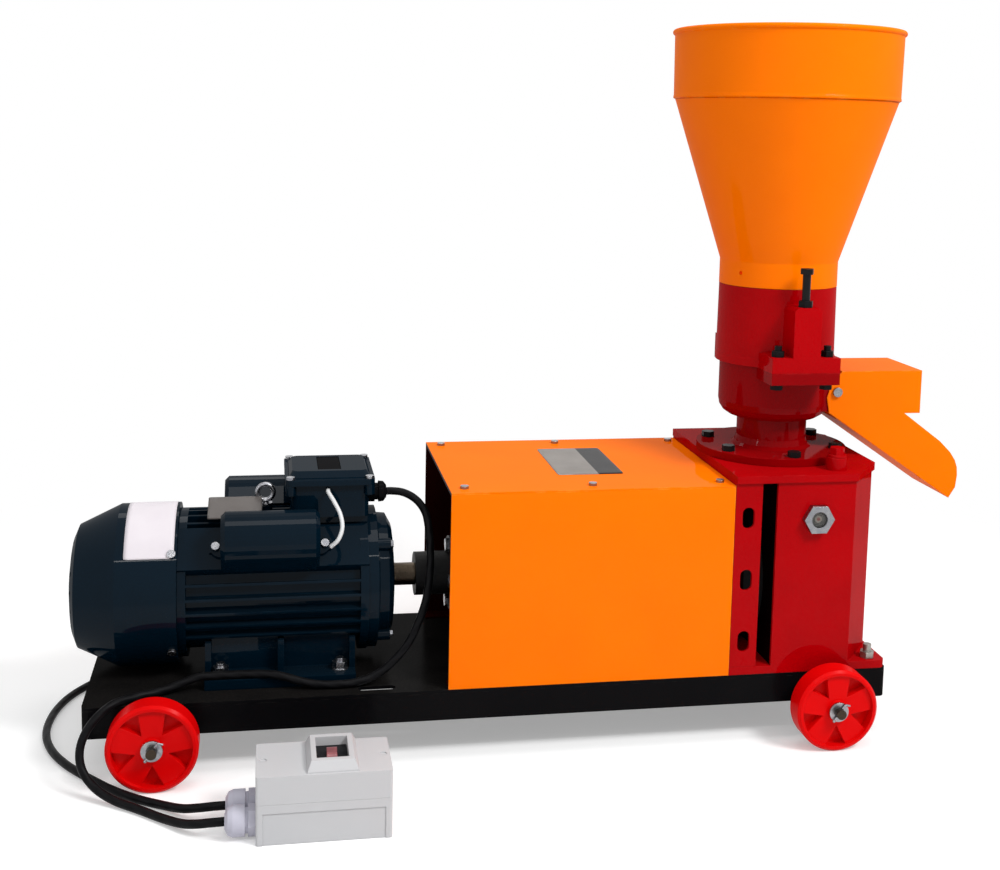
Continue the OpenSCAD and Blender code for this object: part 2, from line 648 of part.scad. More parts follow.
// Capacitor covers and what they hold
module cover_profile(r, drop) {
    intersection() {
        circle(r = r);
        translate([-r, -drop]) square([2 * r, drop + r]);
    }
    translate([-r, -drop]) square([2 * r, drop]);
}
cover_edge = 5;
module capacitor_cover(side) color("#0a2233") at_capacitor(side) difference() {
    union() {
        hull() {
            along_x(cover_edge, 0, capacitor_radius) linear_extrude(capacitor_cover_length - 2 * cover_edge)
                cover_profile(capacitor_cover_diameter / 2, capacitor_radius - pad_radius - seat_gap, $fn = 32);
            along_x(0, 0, capacitor_radius) linear_extrude(capacitor_cover_length)
                cover_profile(capacitor_cover_diameter / 2 - cover_edge, capacitor_radius - pad_radius - seat_gap, $fn = 32);
        }
        translate([-cover_ear, -cover_ear / 2, pad_radius + seat_gap])
            cube([capacitor_cover_length + 2 * cover_ear, cover_ear, ear_plate]);
        for (x = [0, capacitor_cover_length]) translate([x, 0, pad_radius + seat_gap]) cylinder(h = ear_plate, r = cover_ear * 0.95);
    }
    translate([cover_edge, 0, 0]) along_x(0, 0, capacitor_radius) linear_extrude(capacitor_cover_length - 2 * cover_edge) {
        circle(r = capacitor_cover_diameter / 2 - box_wall);
        translate([-capacitor_cover_diameter / 2 + box_wall, -capacitor_cover_diameter])
            square([capacitor_cover_diameter - 2 * box_wall, capacitor_cover_diameter]);
    }
    cover_screw_places(pad_radius + seat_gap) hole(ear_plate, screw_hole);
}

module capacitor_covers() for (side = [0, 1]) capacitor_cover(side);
capacitor_body_radius = capacitor_radius - pad_radius - 2 * seat_gap;
module capacitors() color("#e4e2da") for (side = [0, 1]) at_capacitor(side)
    along_x(cover_edge * 1.5, 0, capacitor_radius)
        cylinder(h = capacitor_cover_length - 3 * cover_edge, r = capacitor_body_radius);

// Swept tube through points: rings square to the path, closed ends
function unit(v) = v / norm(v);
function path_dir(p, i) = i == 0 ? unit(p[1] - p[0])
    : i == len(p) - 1 ? unit(p[i] - p[i - 1]) : unit(unit(p[i + 1] - p[i]) + unit(p[i] - p[i - 1]));
function turn_side(side, d) = unit(side - (side * d) * d);
function path_sides(p, i, side) = i >= len(p) ? []
    : let (s = turn_side(side, path_dir(p, i))) concat([s], path_sides(p, i + 1, s));
module sweep(p, d, sides, first_side) {
    n = len(p);
    side_list = path_sides(p, 0, first_side);
    points = [for (i = [0 : n - 1], k = [0 : sides - 1])
        let (dir = path_dir(p, i), s = side_list[i], t = cross(dir, s), a = 360 * k / sides)
        p[i] + d / 2 * (cos(a) * s + sin(a) * t)];
    walls = [for (i = [0 : n - 2], k = [0 : sides - 1]) let (m = (k + 1) % sides)
        each [[i * sides + k, (i + 1) * sides + k, (i + 1) * sides + m], [i * sides + k, (i + 1) * sides + m, i * sides + m]]];
    ends = [for (k = [1 : sides - 2]) each [[0, k, k + 1], [(n - 1) * sides, (n - 1) * sides + k + 1, (n - 1) * sides + k]]];
    polyhedron(points = points, faces = concat(walls, ends), convexity = 6);
}
// A smooth curve through the points of a route, with even steps between them
function smooth_point(a, b, c, d, t) = 0.5 * (2 * b + (c - a) * t + (2 * a - 5 * b + 4 * c - d) * t * t
    + (3 * b - a - 3 * c + d) * t * t * t);
function smooth(p, steps) = [for (i = [0 : len(p) - 2], k = [0 : steps - 1])
    smooth_point(i == 0 ? 2 * p[0] - p[1] : p[i - 1], p[i], p[i + 1],
        i == len(p) - 2 ? 2 * p[i + 1] - p[i] : p[i + 2], k / steps), p[len(p) - 1]];

// The white sleeved lead from the terminal box to the front capacitor cover
lead_diameter = 5;
lead_route = [[-256, -53, 310], [-256, -62, 309], [-250, -74, 301], [-243, -84, 288], [-241, -92, 274],
    [-246, -97, 261], [-255, -95, 252]];
module capacitor_lead() color("white") sweep(lead_route, lead_diameter, 8, [1, 0, 0]);

// Lifting eye
eye_radius = 9.7;
eye_wire = 3;
eye_collar = 17;
eye_thread = 8;
eye_thread_length = 12;
module lifting_eye() color("silver") translate([eye_x, 0, eye_seat_z]) {
    translate([0, 0, -eye_thread_length]) cylinder(h = eye_thread_length, d = eye_thread);
    cylinder(h = eye_wire, d = eye_collar);
    cylinder(h = 2 * eye_wire, d = eye_thread);
    translate([0, 0, eye_radius + 2 * eye_wire]) rotate([90, 0, 0]) rotate_extrude() translate([eye_radius, 0]) circle(r = eye_wire);
}

// Pin coupling
coupling_hub_radius = 27;
coupling_flange_radius = 46;
coupling_flange = 12;
coupling_hub = 44;
coupling_gap = 6;
coupling_pin_circle = 36;
coupling_pins_count = 4;
pin_radius = 5;
bush_radius = 8;
coupling_face_x = shaft_tip_x + coupling_hub * 0.55;
module coupling_half(x, dir, hole_r, bore_r) color("#17181a") translate([x, 0, shaft_z]) rotate([0, dir * 90, 0]) difference() {
    union() {
        cylinder(h = coupling_flange, r = coupling_flange_radius);
        cylinder(h = coupling_flange + coupling_hub, r = coupling_hub_radius);
    }
    hole(coupling_flange + coupling_hub, bore_r);
    for (i = [0 : coupling_pins_count - 1]) rotate([0, 0, i * 360 / coupling_pins_count])
        translate([coupling_pin_circle, 0, -overrun]) cylinder(h = coupling_flange + 2 * overrun, r = hole_r);
}
module coupling_pins() color("#b8bcc0") for (i = [0 : coupling_pins_count - 1])
    along_x(coupling_face_x, 0, shaft_z) rotate([0, 0, i * 360 / coupling_pins_count]) translate([coupling_pin_circle, 0, 0]) {
        translate([0, 0, -coupling_flange - pin_radius]) cylinder(h = pin_radius, r = pin_radius * 1.7, $fn = 6);
        translate([0, 0, -coupling_flange]) cylinder(h = coupling_flange + coupling_gap, r = pin_radius);
        translate([0, 0, coupling_gap - seat_gap]) cylinder(h = coupling_flange + seat_gap, r = bush_radius);
    }

// Coupling guard: two side panels joined by rails, under a screwed cover
guard_top_z = frame_top_z + guard_height;
guard_lip = 24;
guard_rail = 24;
guard_screw_inset = 20;
guard_screw_places = [guard_x0 + guard_screw_inset * 0.9, guard_x0 + guard_length / 2, gearbox_x0 - guard_screw_inset * 0.7];
module guard_body() color("#fe7a00") difference() {
    union() {
        both_sides() {
            translate([guard_x0, -side_y, frame_top_z])
                cube([guard_length - seat_gap, guard_sheet, guard_height - guard_sheet]);
            translate([guard_x0, -side_y, guard_top_z - 2 * guard_sheet])
                cube([guard_length - seat_gap, guard_lip + guard_sheet, guard_sheet]);
            translate([guard_x0, -side_y, frame_top_z]) cube([guard_length - seat_gap, guard_lip, guard_sheet]);
        }
        for (x = [guard_x0, gearbox_x0 - seat_gap - guard_rail]) translate([x, -side_y, guard_top_z - 2 * guard_sheet])
            cube([guard_rail, frame_width, guard_sheet]);
    }
    guard_screw_spots(guard_top_z - 3 * guard_sheet) hole(4 * guard_sheet, screw_hole);
}
module guard_cover() color("#ff9a10") difference() {
    translate([guard_x0, -side_y, guard_top_z - guard_sheet]) cube([guard_length - seat_gap, frame_width, guard_sheet]);
    guard_screw_spots(guard_top_z - 3 * guard_sheet) hole(4 * guard_sheet, screw_hole);
}
module guard_screws() color("silver") guard_screw_spots(guard_top_z) pan_screw(screw_diameter, 3 * guard_sheet, screw_head);

// Gearbox: base flange and chambered housing, top plate, end frame and dark input bell
base_flange = 10;
base_x1 = frame_x + frame_half - frame_plate / 2;
top_plate = 9.5;
top_z = frame_top_z + gearbox_height;
wall_offset = 38;
wall_x = mill_x - wall_offset;
bell_flange_radius = 94;
bell_flange = 10;
bell_radius = 84;
bell_tube_radius = 38;
bell_wall = 7;
bell_cone = 39;
chamber_floor = 6;
boss_radius = 40;
sight_offset = 13.5;
sight_x = mill_x + sight_offset;
sight_z = frame_top_z + gearbox_height * 0.78;
sight_radius = 10;
sight_hex_radius = 19.3;
sight_depth = 9;
plate_overhang = 3;

module gearbox_plan(x0, inset) polygon([
    [x0, -side_y + inset], [gearbox_x1 - gearbox_chamfer_x - inset / 2, -side_y + inset],
    [gearbox_x1 - inset, -side_y + gearbox_chamfer_y + inset / 2],
    [gearbox_x1 - inset, side_y - gearbox_chamfer_y - inset / 2],
    [gearbox_x1 - gearbox_chamfer_x - inset / 2, side_y - inset], [x0, side_y - inset]]);

module gearbox_housing() color("#c00d1c") difference() {
    union() {
        translate([(gearbox_x0 + base_x1) / 2, 0, frame_top_z]) linear_extrude(base_flange) {
            rounded_plate(base_x1 - gearbox_x0, frame_width, frame_corner);
            translate([-frame_corner, 0]) square([base_x1 - gearbox_x0 - 2 * frame_corner, frame_width], center = true);
        }
        translate([0, 0, frame_top_z]) linear_extrude(gearbox_height - top_plate) gearbox_plan(wall_x, 0);
    }
    difference() {
        translate([0, 0, frame_top_z + base_flange + chamber_floor]) linear_extrude(gearbox_height)
            gearbox_plan(wall_x + gearbox_wall, gearbox_wall);
        translate([mill_x, 0, frame_top_z]) cylinder(h = foot_bearing_z + bearing_width - frame_top_z, r = boss_radius);
    }
    translate([mill_x, 0, foot_bearing_z]) cylinder(h = gearbox_height, r = mill_bearing_radius + fit_gap);
    along_x(wall_x - overrun, 0, shaft_z) cylinder(h = gearbox_wall + 2 * overrun, r = bell_radius - bell_wall);
    towards_front(sight_x, -side_y + gearbox_wall + overrun, sight_z) cylinder(h = gearbox_wall + 2 * overrun, r = sight_radius + bell_wall / 3);
    stud_places(frame_top_z) hole(base_flange, base_stud_diameter / 2 + seat_gap);
}

module gearbox_top_plate() color("#c00d1c") difference() {
    union() {
        translate([0, 0, top_z - top_plate]) linear_extrude(top_plate) gearbox_plan(gearbox_x0, -plate_overhang);
        translate([filler_x, filler_y, top_z]) cylinder(h = filler_boss, r = filler_radius);
    }
    translate([mill_x, 0, top_z - top_plate - overrun]) cylinder(h = top_plate + 2 * overrun, r = mill_bearing_radius + shaft_clearance);
    translate([filler_x, filler_y, top_z - top_plate - overrun]) cylinder(h = filler_boss + top_plate + 2 * overrun, r = filler_radius * 0.5);
    round_mill(top_z - top_plate, flange_bolt_circle, flange_bolt_angles) hole(top_plate, flange_bolt_diameter / 2 + fit_gap);
}
filler_offset = 45;
filler_inset = 22;
filler_x = mill_x + filler_offset;
filler_y = -side_y + filler_inset;
filler_boss = 16;
filler_radius = 12.5;
module filler_plug() color("#c00d1c") translate([filler_x, filler_y, top_z + filler_boss]) {
    translate([0, 0, -filler_boss]) cylinder(h = filler_boss, r = filler_radius * 0.5 - fit_gap);
    cylinder(h = filler_radius * 0.25, r = filler_radius * 0.9);
    translate([0, 0, filler_radius * 0.25]) cylinder(h = filler_radius * 0.7, r = filler_radius * 0.75, $fn = 6);
}

// The end frame closes the guard end; its front and rear strips have plain vent slots
vent_width = 15;
vent_height = 26;
vent_places_shares = [0.17, 0.48, 0.79];
module end_frame() color("#c00d1c") difference() {
    union() {
        translate([gearbox_x0, -side_y, frame_top_z + base_flange])
            cube([frame_plate, frame_width, gearbox_height - base_flange - top_plate]);
        both_sides() translate([gearbox_x0, -side_y, frame_top_z + base_flange])
            cube([strip_width, frame_plate, gearbox_height - base_flange - top_plate]);
    }
    along_x(gearbox_x0 - overrun, 0, shaft_z) cylinder(h = frame_plate + 2 * overrun, r = bell_tube_radius + seat_gap);
    for (s = vent_places_shares) towards_front(gearbox_x0 + strip_width / 2, side_y + overrun, frame_top_z + gearbox_height * s)
        linear_extrude(frame_width + 2 * overrun) rounded_plate(vent_width, vent_height, vent_width * 0.48);
}

module input_bell() color("#26282a") difference() {
    union() {
        along_x(wall_x - bell_flange, 0, shaft_z) cylinder(h = bell_flange, r = bell_flange_radius);
        along_x(wall_x - bell_flange - bell_cone, 0, shaft_z) rotate_extrude() polygon([
            [0, 0], [bell_tube_radius, 0], [bell_radius, bell_cone * 0.7], [bell_radius, bell_cone + overrun], [0, bell_cone + overrun]]);
        along_x(bell_tail_x - bell_wall, 0, shaft_z) 
            cylinder(h = wall_x - bell_flange - bell_cone - bell_tail_x + bell_wall + overrun, r = bell_tube_radius);
    }
    along_x(wall_x - bell_flange - bell_cone, 0, shaft_z) rotate_extrude() polygon([
        [0, bell_cone * 0.25], [bell_tube_radius, bell_cone * 0.25], [bell_radius - bell_wall, bell_cone * 0.85],
        [bell_radius - bell_wall, bell_cone + bell_flange + overrun], [0, bell_cone + bell_flange + overrun]]);
    for (x = [bell_bearing_x, bell_tail_x]) along_x(x, 0, shaft_z) cylinder(h = bearing_width, r = bearing_radius + fit_gap);
    along_x(bell_tail_x - bell_wall - overrun, 0, shaft_z)
        cylinder(h = mill_x - bell_tail_x, r = pinion_shaft_radius + shaft_clearance);
    for (i = [0 : bell_bolts - 1]) along_x(wall_x - bell_flange - overrun, 0, shaft_z) rotate([0, 0, (i + 0.5) * 360 / bell_bolts])
        translate([(bell_flange_radius + bell_radius) / 2, 0, 0]) cylinder(h = bell_flange + 2 * overrun, r = screw_hole);
    translate([wall_x - bell_flange - overrun, -bell_flange_radius, frame_top_z])
        cube([bell_flange + 2 * overrun, 2 * bell_flange_radius, base_flange + seat_gap]);
}
bell_bolts = 8;

module sight_glass_bezel() color("silver") towards_front(sight_x, -side_y, sight_z) difference() {
    union() {
        cylinder(h = sight_depth, r = sight_hex_radius, $fn = 6);
        translate([0, 0, -gearbox_wall]) cylinder(h = gearbox_wall, r = sight_radius + bell_wall / 3 - fit_gap);
    }
    translate([0, 0, -gearbox_wall - overrun]) cylinder(h = gearbox_wall + sight_depth + 2 * overrun, r = sight_radius * 0.8);
    translate([0, 0, sight_depth * 0.5]) cylinder(h = sight_depth, r = sight_radius);
}
module sight_glass_lens() color("#e8e0b0") towards_front(sight_x, -side_y - sight_depth * 0.5, sight_z)
    cylinder(h = sight_depth * 0.3, r = sight_radius - fit_gap);

// Bevel gears: the pinion's axis meets the mill's axis at shaft height
gear_pitch = 360 / crown_teeth;
tooth_size = 2 * crown_pitch_radius / crown_teeth;
pinion_pitch_radius = crown_pitch_radius * pinion_teeth / crown_teeth;
gear_face_share = 0.7;
pinion_cone = atan2(pinion_pitch_radius, crown_pitch_radius);
cone_length = norm([pinion_pitch_radius, crown_pitch_radius]);
addendum_share = 0.8;
dedendum_share = 1.1;

// One tooth as a tapered block from the apex end to the heel end of the gear
tooth_root_share = 0.28;
tooth_tip_share = 0.42;
module bevel_tooth(cone, pitch_step) {
    ends = [gear_face_share * cone_length, cone_length];
    points = [for (s = ends) let (k = s / cone_length, half_root = pitch_step * PI / 180 * s * sin(cone) * tooth_root_share,
        half_tip = half_root * tooth_tip_share, root = -tooth_size * k * dedendum_share * 1.15, tip = tooth_size * k * addendum_share)
        each [for (q = [[-half_root, root], [half_root, root], [half_tip, tip], [-half_tip, tip]])
            [s * sin(cone) + q[1] * cos(cone), q[0], s * cos(cone) - q[1] * sin(cone)]]];
    polyhedron(points = points, faces = [
        [3, 2, 1, 0], [4, 5, 6, 7], [1, 5, 4, 0], [2, 6, 5, 1], [3, 7, 6, 2], [0, 4, 7, 3]]);
}
function cone_r(cone, s, h) = s * sin(cone) + h * cos(cone);
function cone_z(cone, s, h) = s * cos(cone) - h * sin(cone);
module gear_blank(cone, back) {
    s0 = gear_face_share * cone_length;
    s1 = cone_length;
    h0 = -tooth_size * gear_face_share * dedendum_share;
    h1 = -tooth_size * dedendum_share;
    rotate_extrude() polygon([[0, cone_z(cone, s0, h0)], [cone_r(cone, s0, h0), cone_z(cone, s0, h0)],
        [cone_r(cone, s1, h1), cone_z(cone, s1, h1)], [cone_r(cone, s1, h1), back], [0, back]]);
}

module main_shaft() color("#9aa0a6") {
    translate([mill_x, 0, foot_bearing_z + seat_gap]) cylinder(h = die_z - foot_bearing_z - seat_gap, r = main_shaft_radius);
    translate([mill_x, 0, die_z]) cylinder(h = die_thickness + shaft_thread, r = die_spigot_radius);
    translate([mill_x, 0, die_z + die_thickness]) cylinder(h = shaft_nut, r = shaft_nut_radius, $fn = 6);
}
module crown_gear() color("#8a8f94") translate([mill_x, 0, shaft_z]) difference() {
    union() {
        gear_blank(90 - pinion_cone, crown_back);
        for (i = [0 : crown_teeth - 1]) rotate([0, 0, (i + 0.5) * gear_pitch]) bevel_tooth(90 - pinion_cone, gear_pitch);
    }
    cylinder(h = crown_back * 2, r = main_shaft_radius + fit_gap);
}
crown_back = 34;
module pinion_shaft() color("#9aa0a6") {
    translate([mill_x, 0, shaft_z]) rotate([0, -90, 0]) {
        gear_blank(pinion_cone, cone_length);
        for (i = [0 : pinion_teeth - 1]) rotate([0, 0, i * 360 / pinion_teeth]) bevel_tooth(pinion_cone, 360 / pinion_teeth);
    }
    along_x(coupling_face_x + coupling_gap + seat_gap, 0, shaft_z)
        cylinder(h = mill_x - cone_length * 0.98 - coupling_face_x - coupling_gap, r = pinion_shaft_radius);
}

// Mill: lower barrel casting with flange and neck
flange_thickness = 10;
neck_radius = 44.7;
neck_foot = 7;
bowl_depth = 72;
bowl_floor_z = barrel_joint_z - bowl_depth;
bowl_round = 20;
bowl_floor = 9;
flange_bolt_diameter = 9;
flange_bolt_circle = 83;
flange_bolt_angles = [30, 90, 150, 210, 270, 330];
die_drop = 27;
die_z = barrel_joint_z - die_drop;
die_radius = barrel_bore / 2 - seat_gap;
die_spigot_radius = 12.5;
shaft_thread = 12;
shaft_nut = 9;
shaft_nut_radius = 15.5;
outlet_sill = 6;
outlet_bottom_z = bowl_floor_z + bowl_floor + outlet_sill;
outlet_top_z = die_z - shaft_clearance;
outlet_width = 76;
spout_wall = 3;
spout_reach = 74;
spout_width = chute_width - 2 * chute_sheet - 2 * seat_gap;
lug_front_y = 109;
ear_width = 88;
ear_drop = 14.5;
ear_rise = 19;
ear_depth = 52;
lug_stud_spacing = 64;
lug_stud_y = 95;
lug_stud_diameter = 9;

lr = lower_barrel_diameter / 2;
bowl_round_angles = [0, 22.5, 45, 67.5, 90];
module ear_block(z0, h) both_sides() difference() {
    translate([mill_x - ear_width / 2, -lug_front_y, z0]) cube([ear_width, ear_depth, h]);
    for (sx = [-1, 1]) translate([mill_x + sx * lug_stud_spacing / 2, -lug_stud_y, z0 - overrun])
        cylinder(h = h + 2 * overrun, r = lug_stud_diameter / 2 + fit_gap);
}
module lower_barrel() color("#c00d1c") difference() {
    union() {
        translate([mill_x, 0, 0]) rotate_extrude() polygon(concat([
            [0, top_z], [flange_diameter / 2, top_z], [flange_diameter / 2, top_z + flange_thickness],
            [neck_radius + neck_foot, top_z + flange_thickness], [neck_radius + neck_foot / 3, top_z + flange_thickness + neck_foot / 2],
            [neck_radius, top_z + flange_thickness + neck_foot * 1.6], [neck_radius, bowl_floor_z]],
            [for (a = bowl_round_angles) [lr - bowl_round + bowl_round * sin(a), bowl_floor_z + bowl_round - bowl_round * cos(a)]],
            [[lr, barrel_joint_z], [0, barrel_joint_z]]));
        ear_block(barrel_joint_z - ear_drop, ear_drop);
        translate([mill_x, -spout_width / 2, outlet_bottom_z - spout_wall])
            cube([spout_reach, spout_width, outlet_top_z - outlet_bottom_z + 2 * spout_wall]);
    }
    translate([mill_x, 0, bowl_floor_z + bowl_floor]) cylinder(h = barrel_joint_z, d = barrel_bore);
    translate([mill_x, 0, top_z - overrun]) cylinder(h = bowl_floor_z, r = main_shaft_radius + shaft_clearance);
    translate([mill_x, 0, neck_bearing_z]) cylinder(h = bearing_width, r = mill_bearing_radius + fit_gap);
    translate([mill_x, 0, top_z - overrun]) 
        cylinder(h = neck_bearing_z - top_z + 2 * overrun, r = mill_bearing_radius + fit_gap);
    translate([mill_x, -outlet_width / 2, outlet_bottom_z]) cube([spout_reach + overrun, outlet_width, outlet_top_z - outlet_bottom_z]);
    round_mill(top_z, flange_bolt_circle, flange_bolt_angles) hole(flange_thickness, flange_bolt_diameter / 2 + fit_gap);
    for (sy = [-1, 1]) translate([pivot_x, sy * spout_width / 2, pivot_z]) rotate([90, 0, 0])
        cylinder(h = spout_wall * 8, r = pivot_diameter / 2 + fit_gap, center = true);
}

// Upper barrel: lugs guide the roller axle and carry the adjusting bolts
ur = upper_barrel_diameter / 2;
barrel_lip = 11;
barrel_lip_rise = 1.6;
lug_width = 35.5;
lug_height = 80.5;
lug_top_z = barrel_joint_z + lug_height;
lug_bevel = 4;
roller_z = die_z + die_thickness + seat_gap * 1.4 + roller_diameter / 2;
axle_inset = 5;
axle_half_length = lug_front_y - axle_inset;
adjust_y = 97;
slot_top_z = roller_z + roller_axle_diameter / 2 + roller_lift + seat_gap;
module upper_barrel() color("#c00d1c") difference() {
    union() {
        translate([mill_x, 0, 0]) rotate_extrude() polygon([
            [0, barrel_joint_z], [ur + barrel_lip_rise, barrel_joint_z], [ur + barrel_lip_rise, barrel_joint_z + barrel_lip * 0.85],
            [ur + barrel_lip_rise / 2, barrel_joint_z + barrel_lip], [ur, barrel_top_z], [0, barrel_top_z]]);
        ear_block(barrel_joint_z, ear_rise);
        both_sides() towards_front(mill_x, -lug_front_y + ear_depth, 0) linear_extrude(ear_depth) polygon([
            [-lug_width / 2, barrel_joint_z], [lug_width / 2, barrel_joint_z], [lug_width / 2, lug_top_z - lug_bevel],
            [lug_width / 2 - lug_bevel, lug_top_z], [-lug_width / 2 + lug_bevel, lug_top_z], [-lug_width / 2, lug_top_z - lug_bevel]]);
    }
    translate([mill_x, 0, barrel_joint_z - overrun]) cylinder(h = barrel_top_z, d = barrel_bore);
    translate([mill_x - roller_axle_diameter / 2 - seat_gap, -axle_half_length - seat_gap, barrel_joint_z - overrun])
        cube([roller_axle_diameter + 2 * seat_gap, 2 * axle_half_length + 2 * seat_gap, slot_top_z - barrel_joint_z + overrun]);
    for (sy = [-1, 1]) translate([mill_x, sy * adjust_y, roller_z])
        cylinder(h = lug_top_z - roller_z + overrun, r = adjusting_bolt_diameter / 2 + seat_gap);
}

// Black bolts and nuts of the mill
nut_height_share = 0.8;
module stud_with_nut(d, down, up) {
    translate([0, 0, -down]) cylinder(h = down + up, d = d);
    cylinder(h = d * nut_height_share, d = 1.85 * d, $fn = 6);
}
module mill_bolts() color("#161618") {
    round_mill(top_z + flange_thickness, flange_bolt_circle, flange_bolt_angles)
        hex_bolt(flange_bolt_diameter, flange_thickness + top_plate, flange_bolt_diameter * nut_height_share);
    both_sides() for (sx = [-1, 1]) translate([mill_x + sx * lug_stud_spacing / 2, -lug_stud_y, barrel_joint_z + ear_rise]) {
        stud_with_nut(lug_stud_diameter, ear_rise + ear_drop, lug_stud_diameter * 1.5);
        translate([0, 0, -ear_rise - ear_drop - lug_stud_diameter * nut_height_share])
            cylinder(h = lug_stud_diameter * nut_height_share, d = 1.85 * lug_stud_diameter, $fn = 6);
    }
    both_sides() translate([mill_x, -adjust_y, lug_top_z])
        difference() {
            cylinder(h = adjusting_bolt_diameter * nut_height_share, d = 1.85 * adjusting_bolt_diameter, $fn = 6);
            translate([0, 0, -overrun]) cylinder(h = adjusting_bolt_diameter, r = adjusting_bolt_diameter / 2 + seat_gap);
        }
    both_sides() translate([base_stud_x, -base_stud_y, frame_top_z + base_flange])
        stud_with_nut(base_stud_diameter, base_flange + frame_plate, base_stud_diameter * 1.7);
    for (i = [0 : bell_bolts - 1]) along_x(wall_x - bell_flange, 0, shaft_z) rotate([0, 0, (i + 0.5) * 360 / bell_bolts])
        translate([(bell_flange_radius + bell_radius) / 2, 0, 0]) mirror([0, 0, 1]) hex_bolt(screw_diameter, bell_flange, screw_head);
}

// Flat die with rings of countersunk pellet holes
hole_ring_radius = 32;
hole_ring_step = 9.5;
hole_spacing = 1.5;
countersink = 1.2;
function holes_in_ring(k) = floor(2 * PI * (hole_ring_radius + k * hole_ring_step) / (pellet_hole * hole_spacing));
module flat_die() color("#a8acb0") translate([mill_x, 0, die_z]) difference() {
    cylinder(h = die_thickness, r = die_radius);
    hole(die_thickness, die_spigot_radius + fit_gap);
    for (k = [0 : hole_rings - 1], i = [0 : holes_in_ring(k) - 1]) rotate([0, 0, (i + k / 2) * 360 / holes_in_ring(k)])
        translate([hole_ring_radius + k * hole_ring_step, 0, -overrun]) cylinder(h = die_thickness + 2 * overrun, d = pellet_hole, $fn = 16);
}
thrower_thickness = 4;
thrower_rise = 5;
module thrower_plate() color("#9aa0a6") translate([mill_x, 0, bowl_floor_z + bowl_floor + thrower_rise]) difference() {
    union() {
        cylinder(h = thrower_thickness, r = die_radius - shaft_clearance);
        cylinder(h = thrower_thickness * 2.5, r = main_shaft_radius + thrower_thickness * 1.5);
        for (a = [0, 180]) rotate([0, 0, a]) translate([main_shaft_radius, -thrower_thickness / 2, 0])
            cube([die_radius - main_shaft_radius - 2 * thrower_thickness, thrower_thickness, thrower_thickness * 3]);
    }
    translate([0, 0, -overrun]) cylinder(h = thrower_thickness * 5, r = main_shaft_radius + fit_gap);
}

// Rollers and their axle
roller_mid = 19;
roller_groove_depth = 2.2;
module grooved_profile(r, n, depth) polygon([for (i = [0 : n - 1], q = [[0, 0], [0.44, 0], [0.5, -depth], [0.94, -depth]])
    (r + q[1]) * [cos((i + q[0]) * 360 / n), sin((i + q[0]) * 360 / n)]]);
module roller(sy) color("#8e9398") translate([mill_x, sy * roller_mid, roller_z]) rotate([-sy * 90, 0, 0]) difference() {
    union() {
        linear_extrude(roller_width) grooved_profile(roller_diameter / 2, roller_grooves, roller_groove_depth);
        translate([0, 0, -roller_hub]) cylinder(h = roller_width + 2 * roller_hub, r = roller_diameter * 0.33);
    }
    translate([0, 0, -roller_width]) cylinder(h = 3 * roller_width, r = roller_axle_diameter / 2 + fit_gap);
}
roller_hub = 1.5;
module roller_axle() color("#9aa0a6") towards_front(mill_x, axle_half_length, roller_z) {
    cylinder(h = 2 * axle_half_length, d = roller_axle_diameter);
    translate([0, 0, axle_half_length - axle_collar / 2]) cylinder(h = axle_collar, d = roller_axle_diameter * 1.5);
}
axle_collar = 2 * (roller_mid - roller_hub - seat_gap);

// Adjusting bolts press on the axle from above
bolt_stand = 47.5;
bolt_head_top_z = lug_top_z + bolt_stand;
bolt_head_height = 7;
module adjusting_bolts() color("#161618") both_sides() translate([mill_x, -adjust_y, 0]) {
    translate([0, 0, roller_z + roller_axle_diameter / 2 + seat_gap])
        cylinder(h = bolt_head_top_z - bolt_head_height - roller_z - roller_axle_diameter / 2 - seat_gap, d = adjusting_bolt_diameter);
    translate([0, 0, bolt_head_top_z - bolt_head_height]) cylinder(h = bolt_head_height, d = adjusting_bolt_diameter * 1.7, $fn = 6);
}

// Hopper: collar, cone, band and rolled rim in one spun sheet, with a spigot in the barrel
hr = hopper_diameter / 2;
collar_top_z = barrel_top_z + hopper_collar;
band_bottom_z = hopper_top_z - hopper_band;
rim_radius = 3.4;
spigot_length = 18;
spigot_sheet = 2;
band_step = 2.5;
collar_hole = 5;
collar_hole_angle = 211;
module hopper() color("#fe7a00") translate([mill_x, 0, 0]) {
    difference() {
        rotate_extrude() polygon([
            [barrel_bore / 2 - seat_gap - spigot_sheet, barrel_top_z - spigot_length],
            [barrel_bore / 2 - seat_gap, barrel_top_z - spigot_length],
            [barrel_bore / 2 - seat_gap, barrel_top_z + seat_gap], [ur + seat_gap, barrel_top_z + seat_gap],
            [ur + seat_gap, collar_top_z], [hr - band_step, band_bottom_z - band_step],
            [hr, band_bottom_z - band_step / 2], [hr, band_bottom_z + band_step / 2], [hr - hopper_sheet / 3, band_bottom_z + band_step],
            [hr + hopper_sheet / 3, hopper_top_z - rim_radius], [hr - hopper_sheet * 2 / 3, hopper_top_z - rim_radius],
            [hr - hopper_sheet * 4 / 3, band_bottom_z + band_step], [hr - hopper_sheet * 4 / 3, band_bottom_z - band_step],
            [hr - band_step - hopper_sheet * 1.3, band_bottom_z - band_step * 1.2],
            [ur + seat_gap - hopper_sheet, collar_top_z], [ur + seat_gap - hopper_sheet, barrel_top_z + seat_gap + hopper_sheet],
            [barrel_bore / 2 - seat_gap - spigot_sheet, barrel_top_z + seat_gap + hopper_sheet]]);
        rotate([0, 0, collar_hole_angle]) translate([0, 0, collar_top_z - hopper_collar * 0.45]) rotate([0, 90, 0]) cylinder(h = hr, d = collar_hole);
    }
    translate([0, 0, hopper_top_z - rim_radius]) rotate_extrude() translate([hr - hopper_sheet / 6, 0]) circle(r = rim_radius, $fn = 24);
}

